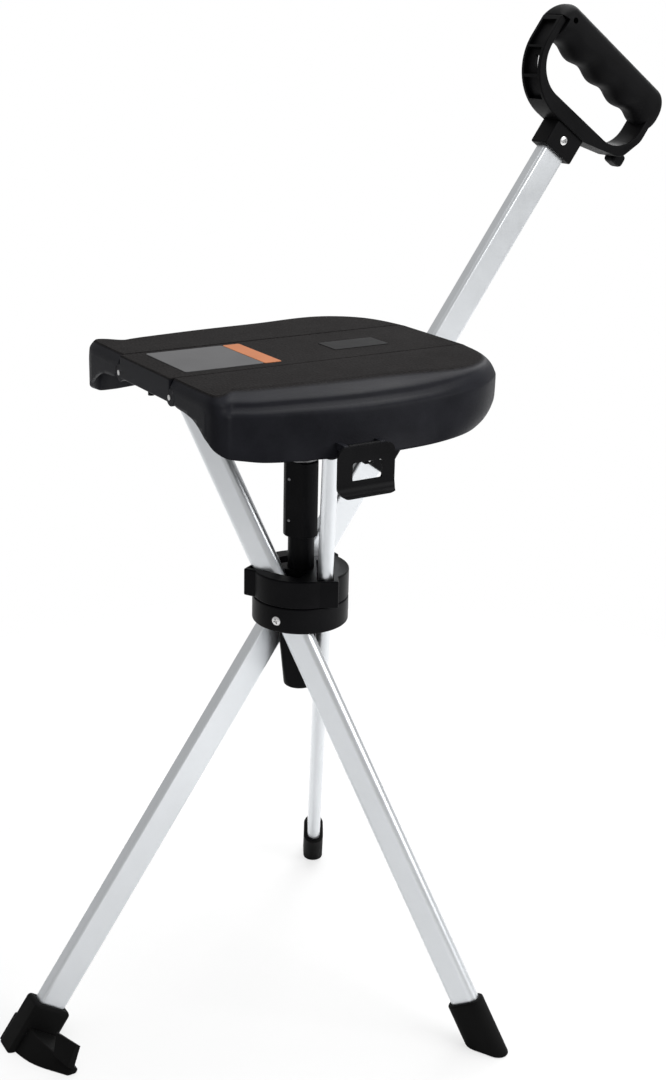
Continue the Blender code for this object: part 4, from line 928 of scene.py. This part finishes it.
head_line += arc((flare_reach, head_top - 2 * HEAD_PAD_THICK), flare_reach - HEAD_RADIUS, 180, 135, 8)
head_line += [(HEAD_PAD_RADIUS, head_top - HEAD_PAD_EDGE), (HEAD_PAD_RADIUS - HEAD_PAD_EDGE, head_top),
              (0.0, head_top)]
put("post_head_knob", lathe(head_line), HUB_PLASTIC, "post_head")

# Rivet dots on the flat of the sleeve that faces the front
across, outward = leg_axes("near")
rivets = []
for height in RIVET_HEIGHTS:
    rivet = lathe(RIVET_PROFILE, 24)
    rivet_place = outward * SLEEVE_FLAT + across * RIVET_ACROSS + Vector((0, 0, height))
    rivet.transform(Matrix.Translation(rivet_place) @ facing(outward))
    rivets.append(rivet)
put("sleeve_rivets", together(*rivets), DULL_STEEL, "post_sleeve", False)


# Centre panel


def rear_arc(inset, steps=14):
    """The seat's rounded rear edge, from its top to its back, in (x, z)."""
    centre_x = SEAT_BACK - REAR_ROUND
    points = []
    for k in range(steps + 1):
        angle = pi / 2 * (1 - k / steps)
        points.append((centre_x + (REAR_ROUND - inset) * cos(angle),
                       SEAT_TOP - REAR_DROP + (REAR_DROP - inset) * sin(angle)))
    return points


def knuckle(start, end, web_y, stop_y, sweep):
    """A hinge eye with the web that hangs it under the top plate, on the far side."""
    outline = [(web_y, UNDER + SINK), (web_y, HINGE_Z - KNUCKLE_RADIUS / 2)]
    outline += arc((HINGE_Y, HINGE_Z), KNUCKLE_RADIUS, *sweep)
    outline.append((stop_y, UNDER + SINK))
    return prism(outline, end - start, along_x(start, end), SMALL_EDGE)


def knuckle_places(first):
    """Where the eyes lie along both hinges, every other one from the first."""
    places = []
    for low, high in HINGE_SPANS:
        pitch = (high - low) / 3
        places += [(low + i * pitch + GAP / 2, low + (i + 1) * pitch - GAP / 2) for i in range(first, 3, 2)]
    return places


panel_outline = [(SEAT_FRONT, SEAT_TOP - FRONT_LIP), (SEAT_FRONT, SEAT_TOP - FRONT_EDGE)]
panel_outline += arc((SEAT_FRONT + FRONT_EDGE, SEAT_TOP - FRONT_EDGE), FRONT_EDGE, 180, 90, 6)[1:]
panel_outline += rear_arc(0.0)
panel_outline += list(reversed(rear_arc(SEAT_WALL)))
panel_outline += [(SEAT_FRONT + SEAT_WALL, UNDER), (SEAT_FRONT + SEAT_WALL, SEAT_TOP - FRONT_LIP)]
notch_half = TUBE_THICK / 2 + COLLAR_WALL + GAP
notch = block((SEAT_BACK - REAR_ROUND, LEG_OFFSET - notch_half, SEAT_TOP - 2 * REAR_DROP),
              (SEAT_BACK + SEAM, LEG_OFFSET + notch_half, SEAT_TOP - 2 * SEAT_WALL))
panel_parts = [carved(prism(panel_outline, 2 * CENTRE_HALF, upright(), PANEL_EDGE), ("DIFFERENCE", notch))]
eye_inner = HINGE_Y - KNUCKLE_RADIUS
for start, end in knuckle_places(0):
    for side in ("far", "near"):
        eye = knuckle(start, end, eye_inner - SIDE_WALL, eye_inner, PANEL_EYE_SWEEP)
        panel_parts.append(on_side(side, eye))
seat_pivot = Vector(joints["seat_fold"]["pos_m"]) - HUB
lug_outline = [(seat_pivot.x - EAR_ROUND, UNDER + SINK)]
lug_outline += arc((seat_pivot.x, seat_pivot.z), EAR_ROUND, 180, 360)
lug_outline.append((seat_pivot.x + EAR_ROUND, UNDER + SINK))
lug_middle = EAR_HALF + GAP + LUG_THICK / 2
for sign in (-1.0, 1.0):
    panel_parts.append(prism(lug_outline, LUG_THICK, upright(LEG_OFFSET + sign * lug_middle), SMALL_EDGE))
panel_parts.append(rod((0, 0, SEAT_TOP - POST_PAD_DROP), (0, 0, UNDER + SINK), POST_PAD_RADIUS, 48))
put("centre_panel_shell", together(*panel_parts), SEAT_SHELL, "centre_panel")


# A plain plate with a band near the front, and a pad near the rear


def flat_plate(name, span, half, middle, corner, material):
    """A thin plate on the panel's top."""
    low, high = span
    outline = rounded_rectangle(high - low, 2 * half, corner, 6, ((low + high) / 2, middle))
    mesh = prism(outline, 2 * PLATE_RISE, Matrix.Translation((0, 0, SEAT_TOP)), PLATE_EDGE)
    put(name, mesh, material, "centre_panel", False)


flat_plate("plain_plate", PLATE_SPAN, PLATE_HALF, PLATE_MIDDLE, PLATE_CORNER, PLATE_GREY)
flat_plate("plain_band", BAND_SPAN, PLATE_HALF, PLATE_MIDDLE, PLATE_CORNER, BAND_ORANGE)
flat_plate("rear_pad", PAD_SPAN, PAD_HALF, PAD_MIDDLE, PAD_CORNER, LATCH_PLASTIC)


# Flaps
arch_line = flowing(ARCH_EDGE, 10)


def arch_drop(y):
    """How far a flap's wall comes down at a distance from the seat's middle."""
    reach = y - HINGE_Y
    if reach <= arch_line[0].x:
        return arch_line[0].y
    for before, after in zip(arch_line, arch_line[1:]):
        if before.x <= reach <= after.x:
            share = (reach - before.x) / max(after.x - before.x, 1e-9)
            return before.y + (after.y - before.y) * share
    return SKIRT_DROP


def eased(share):
    """A share from 0 to 1 that starts and ends gently."""
    return share * share * (3.0 - 2.0 * share)


def flap_rim():
    """The outer edge of the far flap, from its front at the seam to its back at the seam."""
    front_length = FLAP_CORNER_Y - SEAM_Y
    line = [Vector((SEAT_FRONT, SEAM_Y + front_length * k / FRONT_STEPS)) for k in range(FRONT_STEPS)]
    return line + flowing(FLAP_EDGE, 14)


def flap_profiles():
    """Side, rear and front sections of a flap from the bottom up, as inset and drop."""
    front = [(FRONT_INSET * max(0.0, 1.0 - drop / FRONT_ROUND) ** 2, drop) for inset, drop in FLAP_SIDE]
    rear = [(REAR_TUCK, SKIRT_DROP), (0.45 * REAR_TUCK, 0.88 * SKIRT_DROP),
            (0.11 * REAR_TUCK, 0.70 * SKIRT_DROP)]
    count = len(FLAP_SIDE) - len(rear)
    for k in range(1, count + 1):
        angle = pi / 2 * k / count
        rear.append((REAR_INSET * (1.0 - cos(angle)), REAR_FALL * (1.0 - sin(angle))))
    return flowing(FLAP_SIDE, 4), flowing(rear, 4), flowing(front, 4)


def flap_columns():
    """For each point of the rim, its wall from the bottom edge up to the top face."""
    line = flap_rim()
    side, rear, front = flap_profiles()
    columns = []
    for i, point in enumerate(line):
        if i == 0:
            normal = Vector((-1.0, 0.0))
        elif i == len(line) - 1:
            normal = Vector((1.0, 0.0))
        else:
            step = line[i + 1] - line[i - 1]
            normal = Vector((-step.y, step.x)).normalized()
            normal.y *= min(1.0, (point.y - SEAM_Y) / SEAM_EASE)
        blend = eased(min(1.0, max(0.0, (point.x - REAR_BLEND[0]) / (REAR_BLEND[1] - REAR_BLEND[0]))))
        steep = eased(max(0.0, -normal.x))
        section = [s + (r - s) * blend + (f - s) * steep for s, r, f in zip(side, rear, front)]
        lowest = arch_drop(point.y)
        foot = next((k for k, place in enumerate(section) if place.y <= lowest), 0)
        if foot:
            over = section[foot - 1]
            under = section[foot]
            cut = (over.y - lowest) / (over.y - under.y)
            section = [over + (under - over) * cut] * foot + section[foot:]
        at_seam = point.y < SEAM_Y + GAP
        column = []
        for place in section:
            spot = point - normal * place.x
            column.append((spot.x, SEAM_Y if at_seam else spot.y, SEAT_TOP - max(0.0, place.y)))
        columns.append(column)
    return columns


def evened(ring, passes):
    """A ring with its bends evened out in plan, its ends and its heights kept."""
    spots = [Vector(place[:2]) for place in ring]
    for turn in range(passes):
        middle = [(a + 2 * b + c) / 4 for a, b, c in zip(spots, spots[1:], spots[2:])]
        spots = spots[:1] + middle + spots[-1:]
    return [(spot.x, max(spot.y, SEAM_Y), place[2]) for spot, place in zip(spots, ring)]


def flap_shell():
    """The far flap's skin: walls grown from the bottom edge, and a flat top."""
    side = flap_profiles()[0]
    rings = [evened(ring, int(EVENING * max(0.0, place.x - EVEN_FROM)))
             for ring, place in zip(zip(*flap_columns()), side)]
    bm = bmesh.new()
    first = [bm.verts.new(place) for place in rings[0]]
    last = grow_skin(bm, first, rings[1:], False)
    top = bm.faces.new(last)
    bmesh.ops.remove_doubles(bm, verts=bm.verts, dist=FLAP_MERGE)
    bmesh.ops.recalc_face_normals(bm, faces=bm.faces)
    if top.is_valid:
        if top.normal.z < 0:
            bmesh.ops.reverse_faces(bm, faces=bm.faces)
        bmesh.ops.inset_region(bm, faces=[top], thickness=TOP_INSET)
    return to_mesh(bm)


for side in ("near", "far"):
    skin = on_side(side, flap_shell())
    shell = put(f"{side}_flap_shell", skin, SEAT_SHELL, f"{side}_flap", smooth=FLAP_SMOOTH)
    wall = shell.modifiers.new("wall", "SOLIDIFY")
    wall.thickness = SEAT_WALL
    wall.offset = -1.0
    shell.modifiers.move(len(shell.modifiers) - 1, 0)
    details = [knuckle(start, end, FLAP_WEB, SEAM_Y + SINK, FLAP_EYE_SWEEP)
               for start, end in knuckle_places(1)]
    if side == "near":
        ear_back = FLAP_HALF - 2 * SEAT_WALL
        ear = [(ear_back, LATCH_AXIS_Z - LATCH_BARREL)]
        ear += arc((LATCH_AXIS_Y, LATCH_AXIS_Z), LATCH_BARREL, -90, 90)
        ear.append((ear_back, LATCH_AXIS_Z + LATCH_BARREL))
        details += [prism(ear, end - start, along_x(start, end), EAR_EDGE) for start, end in EAR_PLACES]
    details = [on_side(side, detail) for detail in details]
    put(f"{side}_flap_eyes", together(*details), SEAT_SHELL, f"{side}_flap", False)

# Latch, drawn on the far side and mirrored to the near flap
plate_in = LATCH_AXIS_Y + LATCH_BARREL + GAP
plate_out = plate_in + LATCH_THICK
lip_centre = (plate_out + LATCH_LIP, LATCH_BEND)
lip_end = 180.0 + LIP_SWEEP
latch_section = [(plate_in, LATCH_TOP)] + arc(lip_centre, LATCH_LIP + LATCH_THICK, 180, lip_end, 16)
latch_section += arc(lip_centre, LATCH_LIP, lip_end, 180, 16) + [(plate_out, LATCH_TOP)]
latch_width = LATCH_RIGHT - LATCH_LEFT
latch_low = LATCH_BEND - (LATCH_LIP + LATCH_THICK) * sin(radians(LIP_SWEEP))
latch = prism(latch_section, latch_width, along_x(LATCH_LEFT, LATCH_RIGHT))
frontal = rounded_rectangle(latch_width - 2 * GAP, LATCH_TOP - latch_low - 2 * GAP, LATCH_ROUND, 10,
                            ((LATCH_LEFT + LATCH_RIGHT) / 2, (LATCH_TOP + latch_low) / 2))
window_middle = (LATCH_LEFT + LATCH_WINDOW_SIDE + LATCH_WINDOW_WIDTH / 2,
                 LATCH_BEND + LATCH_WINDOW_RISE + LATCH_WINDOW_HEIGHT / 2)
window = rounded_rectangle(LATCH_WINDOW_WIDTH, LATCH_WINDOW_HEIGHT, LATCH_WINDOW_ROUND, 6, window_middle)
latch = carved(latch, ("INTERSECT", prism(frontal, LATCH_KEEP_DEEP, upright(lip_centre[0]))),
               ("DIFFERENCE", prism(window, LATCH_CUT_DEEP, upright(plate_in))))
barrel_start = EAR_PLACES[0][1] + GAP
barrel_end = EAR_PLACES[1][0] - GAP
barrel = arc((LATCH_AXIS_Y, LATCH_AXIS_Z), LATCH_BARREL, 45, 315, 20)
barrel_root = plate_in + LATCH_THICK / 2
barrel += [(barrel_root, barrel[-1][1]), (barrel_root, barrel[0][1])]
latch_barrel = prism(barrel, barrel_end - barrel_start, along_x(barrel_start, barrel_end))
put("latch_loop", mirrored(together(softened(latch, SMALL_EDGE), latch_barrel)), LATCH_PLASTIC, "latch_plate")

# Catch behind the latch's window, on the near flap
catch = block((CATCH_X - CATCH_HALF, CATCH_Y, SKIRT_LOW - CATCH_DROP),
              (CATCH_X + CATCH_HALF, CATCH_Y + CATCH_DEEP, SKIRT_LOW + SINK), CATCH_EDGE)
put("latch_catch", catch, LATCH_PLASTIC, "near_flap", False)
catch_pin = lathe(CATCH_PIN_PROFILE, 24)
pin_place = Matrix.Translation((CATCH_X, CATCH_Y, SKIRT_LOW - CATCH_PIN_DROP))
catch_pin.transform(pin_place @ Matrix.Rotation(pi / 2, 4, "X"))
put("latch_catch_pin", catch_pin, SCREW_STEEL, "latch_pin", False)

# Handle
round_centre = (HANDLE_HALF - HANDLE_ROUND, HANDLE_LOW + HANDLE_ROUND)
frame_outline = round_corners([
    (HANDLE_HALF, ARM_TOP, 0.0), (HANDLE_HALF, HANDLE_LOW, HANDLE_ROUND), (-SOCKET_HALF, HANDLE_LOW, 0.0),
    HEEL, (-HANDLE_HALF, *HEEL_TOP), (-HANDLE_HALF, ARM_END, 0.0), (-OPENING_HALF, ARM_END, 0.0),
    (-OPENING_HALF, OPENING_LOW, OPENING_ROUND), (OPENING_HALF, OPENING_LOW, OPENING_ROUND),
    (OPENING_HALF, ARM_TOP, 0.0)], 20)


def corner_band(sweep, inner, outer, depth, middle=0.0):
    """A stretch of the handle's rounded corner, between two angles and two radii."""
    start, end = sweep
    outline = arc(round_centre, outer, start, end) + arc(round_centre, inner, end, start)
    return prism(outline, depth, upright(middle))


nub_half = NUB_WIDTH / 2
nub_x = HEEL[0] - NUB_SHIFT
nub_z = HEEL[1] - NUB_DROP
socket_half = SOCKET_THICK / 2
socket = block((-SOCKET_HALF, -socket_half, SOCKET_LOW),
               (SOCKET_HALF, socket_half, HANDLE_LOW + SINK), SOCKET_EDGE)
nub = block((nub_x - nub_half, -nub_half, nub_z),
            (nub_x + nub_half, nub_half, nub_z + NUB_HIGH), NUB_WIDTH / 4)
handle_cuts = [
    tube_core("long", SOCKET_LOW - SINK, TUBE_SPAN["long"][1] + GAP),
    rod((SCREW_X, SCREW_SEAT, SCREW_Z), (SCREW_X, SOCKET_THICK, SCREW_Z), SCREW_HEAD_RADIUS + GAP),
    block((HANDLE_HALF - CHANNEL_DEPTH, -CHANNEL_HALF, round_centre[1]),
          (HANDLE_HALF + SINK, CHANNEL_HALF, round_centre[1] + CHANNEL_RISE)),
]
for sweep in CHANNEL_SWEEPS:
    handle_cuts.append(corner_band(sweep, CHANNEL_FLOOR, HANDLE_ROUND + SINK, 2 * CHANNEL_HALF))
handle_cuts.append(corner_band(WINDOW_SWEEP, HANDLE_ROUND - 2 * ARM, CHANNEL_FLOOR + SINK, WINDOW_DEEP,
                               WINDOW_DEEP / 2))
handle = carved(prism(frame_outline, HANDLE_THICK, upright(), HANDLE_EDGE), ("UNION", socket), ("UNION", nub),
                *[("DIFFERENCE", cut) for cut in handle_cuts])
put("handle_loop", turned_by(handle, LONG), HANDLE_PLASTIC, "handle_frame")
head = screw(SINK)
head.transform(Matrix.Translation((SCREW_X, SCREW_SEAT + GAP, SCREW_Z)) @ Matrix.Rotation(-pi / 2, 4, "X"))
put("handle_cross_screw", turned_by(head, LONG), SCREW_STEEL, "handle_screw")

# Grip, lofted along the handle with finger waves below and rounded ends
grip_rings = []
for k in range(GRIP_STATIONS + 1):
    ease = 0.5 - 0.5 * cos(pi * k / GRIP_STATIONS)
    place = (HANDLE_HALF + GRIP_RIGHT) * ease - GRIP_RIGHT
    left = (place - HANDLE_HALF + GRIP_LEFT_ROUND) / GRIP_LEFT_ROUND
    right = (GRIP_RIGHT_ROUND - GRIP_RIGHT - place) / GRIP_RIGHT_ROUND
    end = sqrt(1.0 - min(1.0, max(0.0, left, right) ** 2))
    wave = 0.0
    if abs(place) < OPENING_HALF:
        wave = GRIP_WAVE * (1.0 + cos(pi * GRIP_WAVES * place / OPENING_HALF + pi))
    low = GRIP_LOW + GAP + wave
    high = low - wave + (HANDLE_TOP - GRIP_LOW) * (GRIP_END_HIGH + (1.0 - GRIP_END_HIGH) * end)
    half = GRIP_THICK / 2 * (GRIP_END_THICK + (1.0 - GRIP_END_THICK) * end)
    section = rounded_rectangle(2 * half, high - low, GRIP_FULLNESS * min(half, (high - low) / 2), 10)
    grip_rings.append([(place, y, (low + high) / 2 + z) for y, z in section])
arm_room = block((OPENING_HALF - GAP, -GRIP_THICK, GRIP_LOW - SINK),
                 (HANDLE_HALF + SINK, GRIP_THICK, ARM_TOP + GAP))
grip_hole = rod((GRIP_HOLE_X, GRIP_THICK / 4, GRIP_HOLE_Z),
                (GRIP_HOLE_X, GRIP_THICK, GRIP_HOLE_Z), GRIP_HOLE_RADIUS)
grip = carved(loft(grip_rings), ("DIFFERENCE", arm_room), ("DIFFERENCE", grip_hole))
put("handle_grip_rubber", turned_by(grip, LONG), GRIP_RUBBER, "handle_grip")

# Nodes whose own shape is right keep it and take a finish
KEPT = {
    HUB_PLASTIC: ("seat_collar", "near_leg_cap", "far_leg_cap"),
    FOOT_RUBBER: ("front_peg",),
    SCREW_STEEL: ("collar_screw", "near_front_hinge_pin", "far_front_hinge_pin"),
    DULL_STEEL: ("seat_pivot_pin", "latch_pin", "near_rear_hinge_pin", "far_rear_hinge_pin"),
}
for material, names in KEPT.items():
    for name in names:
        nodes[name].data.materials.clear()
        nodes[name].data.materials.append(material)


# Floor, world and lamps
FLOOR_HALF = 6.0
FLOOR_DROP = -0.0004
FLOOR_TONE = (0.93, 0.93, 0.93, 1.0)
FLOOR_ROUGH = 0.9
CLEAR_SHARE = (0.70, 1.0)
CLEAR_REACH = (0.30, 0.75)
FILL = 0.34
SURROUND = 0.56
WHITE = (1.0, 1.0, 1.0, 1.0)
LAMPS = (
    ("key", (1.1, -1.65, 1.35), (0.0, 0.0, 0.35), (1.2, 1.2), 26.0),
    ("top", (0.3, 0.2, 2.2), (0.0, 0.0, 0.3), (1.8, 1.8), 40.0),
    ("rim", (1.4, 1.0, 1.5), (0.0, 0.0, 0.4), (0.8, 1.4), 12.0),
)


def plain_floor():
    """A pale floor that keeps the shadow and lets the camera see the white surround through it."""
    bm = bmesh.new()
    bmesh.ops.create_grid(bm, x_segments=1, y_segments=1, size=FLOOR_HALF)
    mesh = to_mesh(bm)
    floor = bpy.data.objects.new("floor", mesh)
    floor.location.z = FLOOR_DROP
    scene.collection.objects.link(floor)
    material, tree, shader, place = finish_nodes("pale_floor")
    shader.inputs["Base Color"].default_value = FLOOR_TONE
    shader.inputs["Roughness"].default_value = FLOOR_ROUGH
    rays = tree.nodes.new("ShaderNodeLightPath")
    clear = tree.nodes.new("ShaderNodeBsdfTransparent")
    blend = tree.nodes.new("ShaderNodeMixShader")
    reach = tree.nodes.new("ShaderNodeVectorMath")
    reach.operation = "LENGTH"
    tree.links.new(place, reach.inputs[0])
    share = tree.nodes.new("ShaderNodeMath")
    share.operation = "MULTIPLY"
    tree.links.new(rays.outputs["Is Camera Ray"], share.inputs[0])
    tree.links.new(spread(tree, reach.outputs["Value"], *CLEAR_SHARE, *CLEAR_REACH), share.inputs[1])
    tree.links.new(share.outputs["Value"], blend.inputs["Fac"])
    tree.links.new(shader.outputs["BSDF"], blend.inputs[1])
    tree.links.new(clear.outputs["BSDF"], blend.inputs[2])
    tree.links.new(blend.outputs["Shader"], tree.nodes["Material Output"].inputs["Surface"])
    mesh.materials.append(material)


def soft_lamp(name, place, target, size, power):
    lamp = bpy.data.lights.new(name, "AREA")
    lamp.shape = "RECTANGLE"
    lamp.size, lamp.size_y = size
    lamp.energy = power
    holder = bpy.data.objects.new(name, lamp)
    scene.collection.objects.link(holder)
    holder.location = place
    holder.rotation_euler = (Vector(target) - Vector(place)).to_track_quat("-Z", "Y").to_euler()


def white_surround():
    """A world that is white to the camera, dimmer in reflections and dimmest as fill light."""
    world = bpy.data.worlds.new("studio")
    scene.world = world
    world.use_nodes = True
    tree = world.node_tree
    fill = tree.nodes["Background"]
    fill.inputs["Color"].default_value = WHITE
    rays = tree.nodes.new("ShaderNodeLightPath")
    strength = None
    for kind, gain in (("Is Camera Ray", 1.0 - FILL), ("Is Glossy Ray", SURROUND - FILL)):
        step = tree.nodes.new("ShaderNodeMath")
        step.operation = "MULTIPLY_ADD"
        step.inputs[1].default_value = gain
        step.inputs[2].default_value = FILL
        tree.links.new(rays.outputs[kind], step.inputs[0])
        if strength is not None:
            tree.links.new(strength, step.inputs[2])
        strength = step.outputs["Value"]
    tree.links.new(strength, fill.inputs["Strength"])


plain_floor()
white_surround()
for lamp_facts in LAMPS:
    soft_lamp(*lamp_facts)
